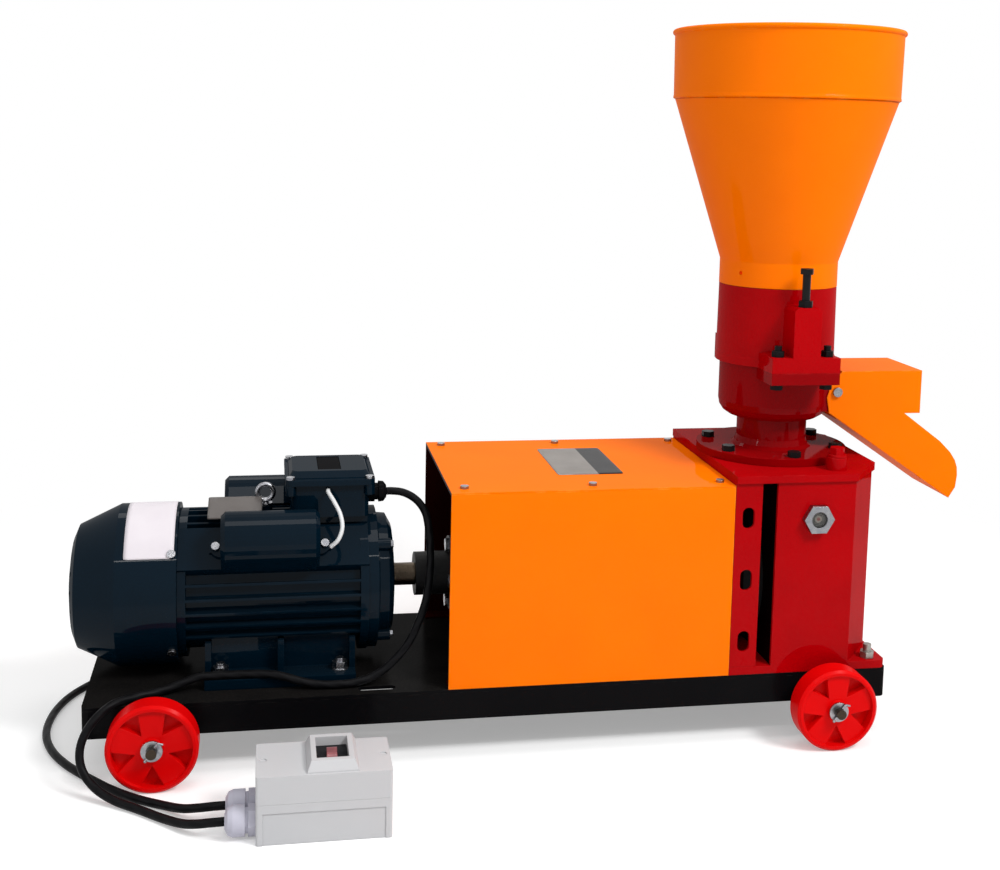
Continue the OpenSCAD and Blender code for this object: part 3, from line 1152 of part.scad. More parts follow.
// Chute: bent sheet with two cheeks, a hooded top and an open sloping channel
chute_front = chute_width / 2;
pivot_offset = 66.7;
pivot_drop = 34.5;
pivot_x = mill_x + pivot_offset;
pivot_z = barrel_joint_z - pivot_drop;
pivot_diameter = 6;
hood_drop = 8;
hood_depth = 55.5;
hood_reach = 182;
chute_drop = 169;
hood_top_z = barrel_joint_z - hood_drop;
hood_bottom_z = hood_top_z - hood_depth;
hood_end_x = mill_x + hood_reach;
tip_x = mill_x + chute_reach;
tip_z = hood_top_z - chute_drop;
// Outline of a cheek, as shares of the reach from the pivot and of the drop from the hood
cheek_shares = [[-0.055, 0.318], [-0.076, 0.20], [-0.05, 0.11], [0.036, 0], [0.664, 0], [0.664, 0.328], [0.545, 0.328],
    [0.845, 0.552], [0.932, 0.639], [0.975, 0.703], [0.995, 0.76], [1.0, 0.822], [0.99, 0.917], [0.939, 1]];
function cheek_point(s) = [pivot_x + s[0] * (tip_x - pivot_x), hood_top_z - s[1] * (hood_top_z - tip_z)];
floor_start_share = [0.03, 0.378];
floor_end_share = [0.939, 1];
hood_start_share = [0.036, 0];
hood_gap = 6;
hood_notch_radius = ur + hood_gap;
module chute() color("#fe7a00") difference() {
    union() {
        both_sides() towards_front(0, -chute_front + chute_sheet, 0) linear_extrude(chute_sheet)
            polygon([for (s = cheek_shares) cheek_point(s)]);
        translate([cheek_point(hood_start_share)[0], -chute_front + chute_sheet / 2, hood_top_z - chute_sheet])
            cube([hood_end_x - cheek_point(hood_start_share)[0], chute_width - chute_sheet, chute_sheet]);
        translate([hood_end_x - chute_sheet, -chute_front + chute_sheet / 2, hood_bottom_z])
            cube([chute_sheet, chute_width - chute_sheet, hood_top_z - hood_bottom_z]);
        towards_front(0, chute_front - chute_sheet / 2, 0) linear_extrude(chute_width - chute_sheet)
            polygon([cheek_point(floor_start_share), cheek_point(floor_end_share),
                cheek_point(floor_end_share) + [chute_sheet * 0.5, chute_sheet], cheek_point(floor_start_share) + [chute_sheet * 0.5, chute_sheet]]);
    }
    translate([mill_x, 0, hood_top_z - 2 * chute_sheet]) cylinder(h = 4 * chute_sheet, r = hood_notch_radius);
    towards_front(pivot_x, chute_front + overrun, pivot_z) cylinder(h = chute_width + 2 * overrun, r = pivot_diameter / 2 + fit_gap);
}
module chute_pins() color("silver") both_sides() towards_front(pivot_x, -chute_front - seat_gap, pivot_z)
    pan_screw(pivot_diameter, chute_sheet + spout_wall * 3, screw_head);

// Switch box on its cable: base, lid with bezel, breaker, toggle and glands
switch_offset = 219;
switch_x = frame_x - switch_offset;
switch_y = -265.5;
switch_split = 44;
switch_wall = 2.5;
switch_corner = 3;
bezel_length = 54;
bezel_rise = 11;
window_length = 34;
window_width = 50;
bezel_offset = 9;
bezel_x = switch_x + bezel_offset;
toggle_width = 11;
toggle_length = 14;
toggle_rise = 12;
toggle_pivot_drop = 4;
switch_gland_radius = 16.5;
switch_gland_length = 32;
switch_gland_z = 18;
switch_gland_spacing = 35;
near_gland_y = switch_y - switch_gland_spacing / 2;
far_gland_y = switch_y + switch_gland_spacing / 2;
panel_recess = 1;

module switch_box_base() color("#c4c6ca") difference() {
    translate([switch_x, switch_y, 0]) linear_extrude(switch_split) rounded_plate(switch_length, switch_width, switch_corner);
    translate([switch_x, switch_y, switch_wall]) linear_extrude(switch_split)
        rounded_plate(switch_length - 2 * switch_wall, switch_width - 2 * switch_wall, switch_corner * 0.4);
    for (y = [near_gland_y, far_gland_y]) along_x(switch_x - switch_length / 2 - overrun, y, switch_gland_z)
        cylinder(h = switch_wall + 2 * overrun, r = switch_gland_radius * 0.6);
    translate([switch_x - switch_length * 0.45, switch_y - switch_width / 2 - overrun, 0])
        cube([switch_length * 0.9, overrun + panel_recess, switch_split * 0.78]);
}
module switch_box_lid() color("#dcdcdc") difference() {
    union() {
        translate([switch_x, switch_y, switch_split]) linear_extrude(switch_height - switch_split)
            rounded_plate(switch_length, switch_width, switch_corner);
        translate([bezel_x, switch_y, switch_height]) hull() {
            linear_extrude(bezel_rise * 0.1) square([bezel_length, switch_width * 0.92], center = true);
            linear_extrude(bezel_rise) square([bezel_length * 0.84, switch_width * 0.78], center = true);
        }
    }
    translate([switch_x, switch_y, switch_split - overrun]) linear_extrude(switch_height - switch_split - switch_wall + overrun)
        rounded_plate(switch_length - 2 * switch_wall, switch_width - 2 * switch_wall, switch_corner * 0.4);
    translate([bezel_x, switch_y, switch_split]) linear_extrude(switch_height)
        square([window_length, window_width], center = true);
    for (sx = [-1, 1]) translate([switch_x + sx * (switch_length / 2 - switch_wall * 3), switch_y, switch_height - switch_wall / 2])
        cylinder(h = switch_height, r = switch_wall * 1.6);
}
breaker_top_z = switch_height + bezel_rise * 0.1;
toggle_z = breaker_top_z - toggle_pivot_drop;
module breaker() color("#e6e4e6") difference() {
    translate([bezel_x - window_length / 2 + seat_gap, switch_y - window_width / 2 + seat_gap, switch_wall])
        cube([window_length - 2 * seat_gap, window_width - 2 * seat_gap, breaker_top_z - switch_wall]);
    translate([bezel_x - toggle_width / 2 - seat_gap, switch_y - toggle_length * 0.8, toggle_z - toggle_length / 2 - 2 * seat_gap])
        cube([toggle_width + 2 * seat_gap, toggle_length * 1.6, switch_height]);
}
module breaker_toggle() color("#8a5560") translate([bezel_x - toggle_width / 2, switch_y, toggle_z]) {
    rotate([0, 90, 0]) cylinder(h = toggle_width, r = toggle_length / 2);
    rotate([-22, 0, 0]) translate([0, -toggle_length / 6, 0]) cube([toggle_width, toggle_length / 3, toggle_rise]);
}
module switch_box_glands() color("#c8c6d4") for (y = [near_gland_y, far_gland_y])
    along_x(switch_x - switch_length / 2, y, switch_gland_z) mirror([0, 0, 1]) {
            translate([0, 0, -switch_wall * 2]) cylinder(h = switch_wall * 2, r = switch_gland_radius * 0.6 - fit_gap);
            cylinder(h = switch_gland_length * 0.24, r = switch_gland_radius, $fn = 6);
            cylinder(h = switch_gland_length * 0.5, r = switch_gland_radius * 0.8);
            translate([0, 0, switch_gland_length * 0.34]) rotate_extrude() polygon([
                [0, 0], [switch_gland_radius * 0.98, 0], [switch_gland_radius * 0.98, switch_gland_length * 0.4],
                [switch_gland_radius * 0.85, switch_gland_length * 0.56], [switch_gland_radius * 0.5, switch_gland_length * 0.66], [0, switch_gland_length * 0.66]]);
    }

// Cable routes: points chosen by hand, in a frame whose zero is the machine's middle
motor_lead_route = [[-183, -10, 295], [-176, -10, 295], [-163.7, -11.1, 293.6], [-152.5, -14.4, 289.3],
    [-143.4, -19.6, 282.7], [-137.1, -26.2, 274.3], [-134, -33.3, 265], [-132.3, -46, 247.5],
    [-132.5, -60, 228], [-134.5, -72, 207], [-139, -83, 183], [-147, -91, 161], [-160, -97, 134.5],
    [-178, -101.5, 113.5], [-200, -106.5, 98], [-224, -110, 91.2], [-248, -111, 90],
    [-270, -109.8, 91], [-289, -107.5, 94.6], [-304, -105, 98.8], [-320, -101.8, 102],
    [-340, -97.5, 102.2], [-366, -95.8, 101.9], [-390, -95.8, 101.9], [-408, -96.8, 101],
    [-428, -100.5, 95.3], [-447, -106, 90.8], [-466, -113.5, 90], [-484, -123.5, 90.1],
    [-500, -135.5, 89.2], [-516, -147, 80], [-527.5, -156, 65.5], [-532.5, -163.5, 48.5],
    [-529, -172, 31], [-515, -183, 15.5], [-493, -198.5, 7], [-464, -219.5, 4.9],
    [-437, -243.5, 5.3], [-417, -262.5, 8.3], [-402, -274, 12.6], [-387, -281, 16.6], [-372, -283, 18]];
supply_route = [[-372, -248, 18], [-385, -247.6, 17.6], [-401, -243.5, 14.8], [-419, -232.5, 9.8],
    [-441, -213, 5.4], [-469, -194, 4.75], [-497, -170, 4.75], [-520, -145, 4.75], [-541, -120, 4.75],
    [-558, -97, 4.75], [-575, -67, 4.75], [-588, -30, 4.75], [-593, 9, 4.75], [-590, 54, 4.75],
    [-579, 95, 4.75], [-560, 130, 4.75], [-534, 162, 4.75], [-502, 190, 4.75], [-464, 216, 4.75],
    [-425, 239, 4.75], [-395, 255, 4.75], [-374, 262, 4.75], [-355, 263, 4.75]];
module motor_lead() color("#1a1a1c") sweep(motor_lead_route, cable_diameter, 8, [0, 0, 1]);
module supply_cord() color("#1a1a1c") sweep(smooth(supply_route, 2), cable_diameter, 8, [0, 0, 1]);

// Coil of the cable's spare length: it spirals in on the floor and out again one layer up
coil_centre = [-345, 325];
coil_outer_radius = 62;
coil_turns = 3;
coil_rings = 24;
coil_gap = 0.8;
coil_pitch = cable_diameter + coil_gap;
coil_lead_in = 10;
coil_tail = [[24, 1.2], [48, 3.45], [58, 3.45]];
function ease(t) = t <= 0 ? 0 : t >= 1 ? 1 : t * t * (3 - 2 * t);
function coil_point(t) = let (r = coil_outer_radius - coil_pitch * min(t, coil_turns - t), a = 360 * t - 90)
    [coil_centre[0] + r * cos(a), coil_centre[1] + r * sin(a),
        cable_diameter / 2 + coil_pitch * ease((t - coil_turns / 2) * 2 + 0.5)];
coil_loops = [for (i = [0 : coil_turns * coil_rings]) coil_point(i / coil_rings)];
coil_path = concat([coil_point(0) - [coil_lead_in, 0, 0]], coil_loops,
    [for (q = coil_tail) coil_point(coil_turns) + [q[0], 0, q[1]]]);
coil_least_gap = min([for (i = [0 : len(coil_path) - 2], j = [i + 1 : len(coil_path) - 1])
    if (j - i > coil_rings / 2) norm(coil_path[i] - coil_path[j])]) - cable_diameter;
echo("least gap between the coil's loops", coil_least_gap);
module supply_coil() color("#1a1a1c") sweep(coil_path, cable_diameter, 6, [0, 0, 1]);

// Mains plug on the end of the coil
plug_radius = 18.5;
plug_body = 36;
plug_boot = 26;
plug_boot_radius = 7;
plug_pin_diameter = 4.8;
plug_pin_length = 19;
plug_pin_spacing = 19;
plug_groove = 5;
plug_end = coil_path[len(coil_path) - 1];
module plug() color("#1a1a1c") along_x(plug_end[0], plug_end[1], plug_end[2]) {
    difference() {
        rotate_extrude() polygon([[0, 0], [plug_boot_radius, 0], [plug_boot_radius * 1.2, plug_boot],
            [plug_radius * 0.8, plug_boot * 1.25], [plug_radius, plug_boot * 1.6], [plug_radius, plug_boot + plug_body],
            [0, plug_boot + plug_body]]);
        for (side = [-1, 1]) translate([-plug_groove / 2, side * plug_radius - plug_groove / 2, plug_boot * 1.8])
            cube([plug_groove, plug_groove, plug_body]);
    }
    for (side = [-1, 1]) translate([side * plug_pin_spacing / 2, 0, plug_boot + plug_body])
        cylinder(h = plug_pin_length, d = plug_pin_diameter);
}

base_frame();
frame_skirt();
wheel_axles();
placed_wheel(-1, -1);  // front_left_wheel
placed_wheel(1, -1);  // front_right_wheel
placed_wheel(-1, 1);  // rear_left_wheel
placed_wheel(1, 1);  // rear_right_wheel
motor_housing();
motor_stator();
motor_rotor();
cooling_fan();
drive_end_shield();
rear_end_shield();
ball_bearings();
fan_cowl();
motor_screws();
terminal_box();
terminal_box_lid();
motor_cable_gland();
capacitor_covers();
capacitors();
capacitor_lead();
lifting_eye();
coupling_half(coupling_face_x, -1, pin_radius + fit_gap, motor_shaft_diameter / 2 + fit_gap);  // motor_coupling_half
coupling_half(coupling_face_x + coupling_gap, 1, bush_radius + fit_gap, pinion_shaft_radius + fit_gap);  // mill_coupling_half
coupling_pins();
guard_body();
guard_cover();
guard_screws();
end_frame();
gearbox_housing();
gearbox_top_plate();
input_bell();
sight_glass_bezel();
sight_glass_lens();
filler_plug();
pinion_shaft();
crown_gear();
main_shaft();
mill_bolts();
lower_barrel();
upper_barrel();
flat_die();
thrower_plate();
roller_axle();
roller(-1);  // front_roller
roller(1);  // rear_roller
adjusting_bolts();
hopper();
chute();
chute_pins();
switch_box_base();
switch_box_lid();
breaker();
breaker_toggle();
switch_box_glands();
plug();
motor_lead();
supply_cord();
supply_coil();
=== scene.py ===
# %% [markdown]
# A feed pellet mill: an electric motor on a wheeled base plate drives a gearbox, and the
# gearbox turns a flat die under a tall hopper. Its hard parts arrive here already modelled.
# This lesson gives them their paint, steel and plastic, lays the two rubber cables, and adds the
# thin bare plates and the tie that a CAD model leaves out. Then it sets floor, light and camera.

import json
import math

import bpy
import numpy as np
from mathutils import Matrix, Vector


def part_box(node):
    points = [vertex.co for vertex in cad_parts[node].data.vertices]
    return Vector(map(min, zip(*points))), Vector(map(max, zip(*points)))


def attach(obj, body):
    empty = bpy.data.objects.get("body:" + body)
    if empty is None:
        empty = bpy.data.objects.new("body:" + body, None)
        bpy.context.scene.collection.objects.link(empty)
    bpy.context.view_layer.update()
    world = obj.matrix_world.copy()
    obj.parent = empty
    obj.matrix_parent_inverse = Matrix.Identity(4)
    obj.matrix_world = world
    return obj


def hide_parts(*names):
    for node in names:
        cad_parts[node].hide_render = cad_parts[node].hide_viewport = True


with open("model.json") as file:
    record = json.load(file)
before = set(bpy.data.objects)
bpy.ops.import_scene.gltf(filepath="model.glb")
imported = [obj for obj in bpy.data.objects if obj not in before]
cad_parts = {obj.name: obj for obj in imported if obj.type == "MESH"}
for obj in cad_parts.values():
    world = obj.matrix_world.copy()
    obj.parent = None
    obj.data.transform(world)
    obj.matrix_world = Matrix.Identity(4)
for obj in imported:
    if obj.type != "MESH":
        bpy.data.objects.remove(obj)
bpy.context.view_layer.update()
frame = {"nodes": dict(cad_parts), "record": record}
nodes = frame["nodes"]

# %% [markdown]
# The camera stands where the photograph was taken from. Its place and turn were solved from
# straight edges and round rims of the machine in the photograph, so the turn is written here as
# three angles. A look-at constraint would be simpler, but could not hold the small roll and the
# off-centre framing.

# %% Camera
CAMERA_PLACE = (-0.32775, -1.67055, 0.74046)
YAW, PITCH, ROLL = 0.180602, 0.121004, 0.021832
FOCAL_LENGTH, SENSOR_WIDTH = 49.36, 36
SHIFT_X, SHIFT_Y = -0.0158, -0.1362


def add_object(name, data):
    """Puts a mesh, a camera or a lamp into the scene as an object at the origin."""
    made = bpy.data.objects.new(name, data)
    bpy.context.scene.collection.objects.link(made)
    return made


def camera_axes(yaw, pitch, roll):
    """Forward points yaw to the right of +Y and pitch below the horizon; right and up are then
    turned by roll about it."""
    ahead, aside = math.cos(yaw) * math.cos(pitch), math.sin(yaw) * math.cos(pitch)
    forward = Vector((aside, ahead, -math.sin(pitch)))
    level = Vector((math.cos(yaw), -math.sin(yaw), 0))
    above = level.cross(forward)
    right = math.cos(roll) * level + math.sin(roll) * above
    up = -math.sin(roll) * level + math.cos(roll) * above
    return right, up, forward


camera_data = bpy.data.cameras.new("photo_camera")
camera_data.lens, camera_data.sensor_width = FOCAL_LENGTH, SENSOR_WIDTH
camera_data.shift_x, camera_data.shift_y = SHIFT_X, SHIFT_Y
camera = add_object("photo_camera", camera_data)
right, up, forward = camera_axes(YAW, PITCH, ROLL)
turn = Matrix((right, up, -forward)).transposed()
camera.matrix_world = Matrix.Translation(CAMERA_PLACE) @ turn.to_4x4()
bpy.context.scene.camera = camera
print("camera looks along", tuple(round(v, 3) for v in forward))

# %% [markdown]
# Every new shape in this lesson is a grid of points, worked out at once with numpy: rows run
# along the piece and columns run round it. Modifiers could bend ready-made cylinders instead,
# but a grid says where each point lies. One helper joins its points into a mesh.

# %% Grid of points to mesh
MM = 0.001


def build_mesh(name, points, faces, smooth):
    """points is an array of X, Y, Z rows; smooth says of each face whether it is shaded round."""
    mesh = bpy.data.meshes.new(name)
    mesh.from_pydata(points.tolist(), [], faces)
    mesh.polygons.foreach_set("use_smooth", smooth)
    mesh.update()
    return add_object(name, mesh)


def grid_mesh(name, points, caps=True, closed=False):
    """points has the shape rows x columns x 3. Each face joins four neighbours, and the last
    column meets the first. closed joins the last row to the first as well, and caps closes the
    first and last rows with one flat face each."""
    rows, columns = points.shape[:2]
    i, k = np.meshgrid(np.arange(rows if closed else rows - 1), np.arange(columns), indexing="ij")
    this_row, next_row = i * columns, (i + 1) % rows * columns
    beside = (k + 1) % columns
    corners = [this_row + k, this_row + beside, next_row + beside, next_row + k]
    faces = np.stack(corners, -1).reshape(-1, 4).tolist()
    smooth = [True] * len(faces)
    if caps:
        faces.append(list(range(columns))[::-1])
        faces.append([(rows - 1) * columns + c for c in range(columns)])
        smooth += [False, False]
    return build_mesh(name, points.reshape(-1, 3), faces, smooth)


def through(route, steps):
    """A curve through the route's points. Between two of them it is the cubic whose slope at each
    point is half the step from the point before to the point after."""
    p = np.array(route, float)
    p = np.vstack([2 * p[0] - p[1], p, 2 * p[-1] - p[-2]])
    t = (np.arange(steps) / steps)[None, :, None]
    a, b, c, d = (p[k:len(p) - 3 + k][:, None, :] for k in range(4))
    squared, cubed = 2 * a - 5 * b + 4 * c - d, 3 * b - a - 3 * c + d
    curve = 0.5 * (2 * b + (c - a) * t + squared * t ** 2 + cubed * t ** 3)
    return np.vstack([curve.reshape(-1, 3), p[-2]])


def length_of(path):
    """The sum of the distances from each point of the path to the next."""
    return float(np.linalg.norm(np.diff(path, axis=0), axis=1).sum())


print("shape helpers ready")

# %% [markdown]
# The cables are ordinary round rubber mains cable, 9.5 mm thick. One leaves the motor's terminal
# box, lies on the motor's foot and the base plate, curls over the edge to the floor and ends in
# the switch box. The other leaves the switch box, passes the wheel and goes behind the machine,
# where its spare length is wound into a flat coil with a tie, out of the camera's sight.
# A curve object with a bevel could do this, but a tube of rings gives the rubber its own
# lengthwise coordinate for the faint twist of the cores inside.

# %% Cable routes, in millimetres
CABLE = 9.5
MOTOR_LEAD = [
    [-183, -10, 295], [-176, -10, 295], [-163.7, -11.1, 293.6], [-152.5, -14.4, 289.3],
    [-143.4, -19.6, 282.7], [-137.1, -26.2, 274.3], [-134, -33.3, 265], [-132.3, -46, 247.5],
    [-132.5, -60, 228], [-134.5, -72, 207], [-139, -83, 183], [-147, -91, 161], [-160, -97, 134.5],
    [-178, -101.5, 113.5], [-200, -106.5, 98], [-224, -110, 91.2], [-248, -111, 90],
    [-270, -109.8, 91], [-289, -107.5, 94.6], [-304, -105, 98.8], [-320, -101.8, 102],
    [-340, -97.5, 102.2], [-366, -95.8, 101.9], [-390, -95.8, 101.9], [-408, -96.8, 101],
    [-428, -100.5, 95.3], [-447, -106, 90.8], [-466, -113.5, 90], [-484, -123.5, 90.1],
    [-500, -135.5, 89.2], [-516, -147, 80], [-527.5, -156, 65.5], [-532.5, -163.5, 48.5],
    [-529, -172, 31], [-515, -183, 15.5], [-493, -198.5, 7], [-464, -219.5, 4.9],
    [-437, -243.5, 5.3], [-417, -262.5, 8.3], [-402, -274, 12.6], [-387, -281, 16.6], [-372, -283, 18]]
SUPPLY = [
    [-372, -248, 18], [-385, -247.6, 17.6], [-401, -243.5, 14.8], [-419, -232.5, 9.8],
    [-441, -213, 5.4], [-469, -194, 4.75], [-497, -170, 4.75], [-520, -145, 4.75],
    [-541, -120, 4.75], [-558, -97, 4.75], [-575, -67, 4.75], [-588, -30, 4.75],
    [-593, 9, 4.75], [-590, 54, 4.75], [-579, 95, 4.75], [-560, 130, 4.75],
    [-534, 162, 4.75], [-502, 190, 4.75], [-464, 216, 4.75], [-425, 239, 4.75],
    [-395, 255, 4.75], [-374, 262, 4.75], [-355, 263, 4.75]]
COIL_CENTRE = (-345, 325)
COIL_RADIUS, COIL_TURNS, COIL_PITCH = 62, 3, 10.3
COIL_START, POINTS_PER_TURN = -90, 24
COIL_TAIL = [[24, 0, 1.2], [48, 0, 3.45], [58, 0, 3.45]]
ROUTE_STEPS, COIL_STEPS = 6, 3


def coil_turn(t):
    """Radius and height after t turns. The radius shrinks by one pitch a turn up to the middle and
    grows again after it, while the height rises one layer there, by a smooth step."""
    radius = COIL_RADIUS - COIL_PITCH * np.minimum(t, COIL_TURNS - t)
    s = np.clip((t - COIL_TURNS / 2) * 2 + 0.5, 0, 1)
    return radius, CABLE / 2 + COIL_PITCH * s * s * (3 - 2 * s)


def coil_path():
    """The turns start at COIL_START degrees from +X, and the tail runs on along +X to the plug."""
    t = np.arange(COIL_TURNS * POINTS_PER_TURN + 1) / POINTS_PER_TURN
    radius, height = coil_turn(t)
    a = np.radians(360 * t + COIL_START)
    x, y = COIL_CENTRE[0] + radius * np.cos(a), COIL_CENTRE[1] + radius * np.sin(a)
    loops = np.stack([x, y, height], 1)
    return np.vstack([loops, loops[-1] + np.array(COIL_TAIL)])


motor_lead_path = through(MOTOR_LEAD, ROUTE_STEPS) * MM
coil = through(coil_path(), COIL_STEPS)
supply_path = np.vstack([through(SUPPLY, ROUTE_STEPS), coil[1:]]) * MM
print("motor lead", round(length_of(motor_lead_path), 3), "m")
print("supply cable", round(length_of(supply_path), 3), "m")

# %% [markdown]
# A cable is a pipe of round rings. Each ring needs two directions square to the cable, and they
# are handed on from ring to ring, because a fixed "up" would flip where the cable stands upright.

# %% Tubes along a path
CABLE_SIDES = 20
CORES, CORE_TURN = 3, 70 * MM
UPRIGHT = 0.9


def ring_frames(path):
    """Two directions square to the path at each point. The first is carried along from ring to
    ring, losing only the part that points along the path, so the tube doesn't twist. It starts
    from straight up, or from +X where the path itself starts upright."""
    ahead = np.gradient(path, axis=0)
    ahead /= np.linalg.norm(ahead, axis=1)[:, None]
    side = np.zeros_like(path)
    last = np.array([0.0, 0.0, 1.0] if abs(ahead[0, 2]) < UPRIGHT else [1.0, 0.0, 0.0])
    for i, direction in enumerate(ahead):
        last = last - (last @ direction) * direction
        last = last / np.linalg.norm(last)
        side[i] = last
    return side, np.cross(ahead, side)


def cable_tube(name, path, diameter, sides=CABLE_SIDES):
    """A circle of points square to the path at each of its points. The attribute "twist" is the
    cosine of three times the angle round the tube, less one turn in every 70 mm along it."""
    side, other = ring_frames(path)
    a = np.arange(sides) * 2 * np.pi / sides
    ring = np.cos(a)[None, :, None] * side[:, None] + np.sin(a)[None, :, None] * other[:, None]
    piece = grid_mesh(name, path[:, None] + diameter / 2 * ring)
    run = np.concatenate([[0], np.cumsum(np.linalg.norm(np.diff(path, axis=0), axis=1))])
    turned = a[None, :] - 2 * np.pi * run[:, None] / CORE_TURN
    twist = piece.data.attributes.new("twist", "FLOAT", "POINT")
    twist.data.foreach_set("value", (0.5 + 0.5 * np.cos(CORES * turned)).ravel().astype(np.float32))
    return piece


print("tube helper ready, sides", CABLE_SIDES)

# %% Both rubber cables
motor_cable = cable_tube("motor_cable", motor_lead_path, CABLE * MM)
supply_cable = cable_tube("supply_cable", supply_path, CABLE * MM)
for cable, replaced in ((motor_cable, ["motor_lead"]), (supply_cable, ["supply_cord", "supply_coil"])):
    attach(cable, "base")
    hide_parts(*replaced)
print("cable faces", len(motor_cable.data.polygons), len(supply_cable.data.polygons))

# %% [markdown]
# A white sleeved wire drops from the terminal box into the front capacitor cover. It is short
# and both of its ends go back into the motor, so it is a cord that ends in the object.

# %% Capacitor wire
WIRE, WIRE_SIDES, WIRE_STEPS = 5, 16, 8
CAPACITOR_WIRE = [
    [-256, -53, 310], [-256, -62, 309], [-250, -74, 301], [-243, -84, 288], [-241, -92, 274],
    [-246, -97, 261], [-255, -95, 252]]
wire_path = through(CAPACITOR_WIRE, WIRE_STEPS) * MM
capacitor_wire = cable_tube("capacitor_wire", wire_path, WIRE * MM, WIRE_SIDES)
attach(capacitor_wire, "base")
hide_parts("capacitor_lead")
print("capacitor wire", round(length_of(wire_path), 3), "m")

# %% [markdown]
# Paint, castings and mouldings share three surface effects: a skin, worn and highlit edges and settled
# dust.
# Each is a node group, built once and placed in every material with its own values. Nodes can be
# wired by hand in the shader editor; a few short helpers keep the same wiring readable in a script.

# %% Helpers for node trees
def feed(tree, socket, value):
    """Links another socket to this one, or sets this one to a plain value."""
    if isinstance(value, bpy.types.NodeSocket):
        tree.links.new(value, socket)
    else:
        socket.default_value = value


def add_node(tree, kind, inputs=None, **settings):
    """Adds a node, sets its properties, and fills its inputs with values or with links."""
    made = tree.nodes.new(kind)
    for key, value in settings.items():
        setattr(made, key, value)
    for key, value in (inputs or {}).items():
        feed(tree, made.inputs[key], value)
    return made


def maths(tree, operation, *values):
    """A Math node: the operation over one or two values or links."""
    return add_node(tree, "ShaderNodeMath", dict(enumerate(values)), operation=operation).outputs[0]


def plus(tree, first, second):
    return maths(tree, "ADD", first, second)


def minus(tree, first, second):
    return maths(tree, "SUBTRACT", first, second)


def times(tree, first, second):
    return maths(tree, "MULTIPLY", first, second)


def less(tree, first, second):
    return maths(tree, "LESS_THAN", first, second)


def size_of(tree, value):
    return maths(tree, "ABSOLUTE", value)


def mix_colour(tree, share, first, second):
    """The first colour where share is 0, the second where it is 1. A Mix node keeps its two colour
    inputs at places 6 and 7 and its colour output at place 2."""
    return add_node(tree, "ShaderNodeMix", {0: share, 6: first, 7: second}, data_type="RGBA").outputs[2]


print("node helpers ready")

# %% Helpers for patterns and groups
def on_object(tree):
    """The point's place on the object, in metres."""
    return add_node(tree, "ShaderNodeTexCoord").outputs["Object"]


def place_parts(tree):
    """X, Y and Z of the point's place on the object."""
    return add_node(tree, "ShaderNodeSeparateXYZ", {0: on_object(tree)}).outputs


def noise(tree, place, scale, detail):
    values = {"Vector": place, "Scale": scale, "Detail": detail}
    return add_node(tree, "ShaderNodeTexNoise", values).outputs[0]


def ramp(tree, value, start, end, **settings):
    """0 where the value is at start, 1 where it is at end, and held there beyond both."""
    limits = {"Value": value, "From Min": start, "From Max": end}
    return add_node(tree, "ShaderNodeMapRange", limits, **settings).outputs[0]


def new_group(name, inputs, outputs):
    """A shader node group with float, colour or vector sockets; returns the tree and its ends."""
    tree = bpy.data.node_groups.new(name, "ShaderNodeTree")
    kinds = {float: "NodeSocketFloat", tuple: "NodeSocketColor", list: "NodeSocketVector"}
    for direction, sockets in (("INPUT", inputs), ("OUTPUT", outputs)):
        for label, value in sockets.items():
            socket = tree.interface.new_socket(name=label, in_out=direction, socket_type=kinds[type(value)])
            if direction == "INPUT":
                socket.default_value = value
    start, end = tree.nodes.new("NodeGroupInput"), tree.nodes.new("NodeGroupOutput")
    return tree, start.outputs, end.inputs


print("pattern helpers ready")

# %% [markdown]
# Sprayed paint, a cast wall and a moulding are never one flat colour. Skin is three noises of
# different sizes: slow patches of another shade, a soft ripple and a fine grain. An image of
# paint would repeat, and would need to be laid out over every solid.

# %% Skin group
GREY = (0.5, 0.5, 0.5, 1.0)
PATCH_LIMITS = (0.35, 0.68)
skin, skin_in, skin_out = new_group("surface_skin",
    {"Colour": GREY, "Patch colour": GREY, "Patch size": 12.0, "Patch share": 0.5, "Ripple size": 180.0,
     "Ripple depth": 1.0, "Grain size": 1400.0, "Grain depth": 0.2, "Roughness": 0.3, "Spread": 0.1},
    {"Colour": GREY, "Roughness": 0.0, "Height": 0.0})
skin_place = on_object(skin)
patch = noise(skin, skin_place, skin_in["Patch size"], 4.0)
ripple = noise(skin, skin_place, skin_in["Ripple size"], 2.0)
grain = noise(skin, skin_place, skin_in["Grain size"], 3.0)
patch_share = times(skin, ramp(skin, patch, *PATCH_LIMITS), skin_in["Patch share"])
spread = times(skin, minus(skin, plus(skin, patch, grain), 1.0), skin_in["Spread"])
ripple_height = times(skin, ripple, skin_in["Ripple depth"])
grain_height = times(skin, grain, skin_in["Grain depth"])
tint = mix_colour(skin, patch_share, skin_in["Colour"], skin_in["Patch colour"])
feed(skin, skin_out["Colour"], tint)
feed(skin, skin_out["Roughness"], plus(skin, skin_in["Roughness"], spread))
feed(skin, skin_out["Height"], plus(skin, ripple_height, grain_height))
print("skin group", len(skin.nodes), "nodes")
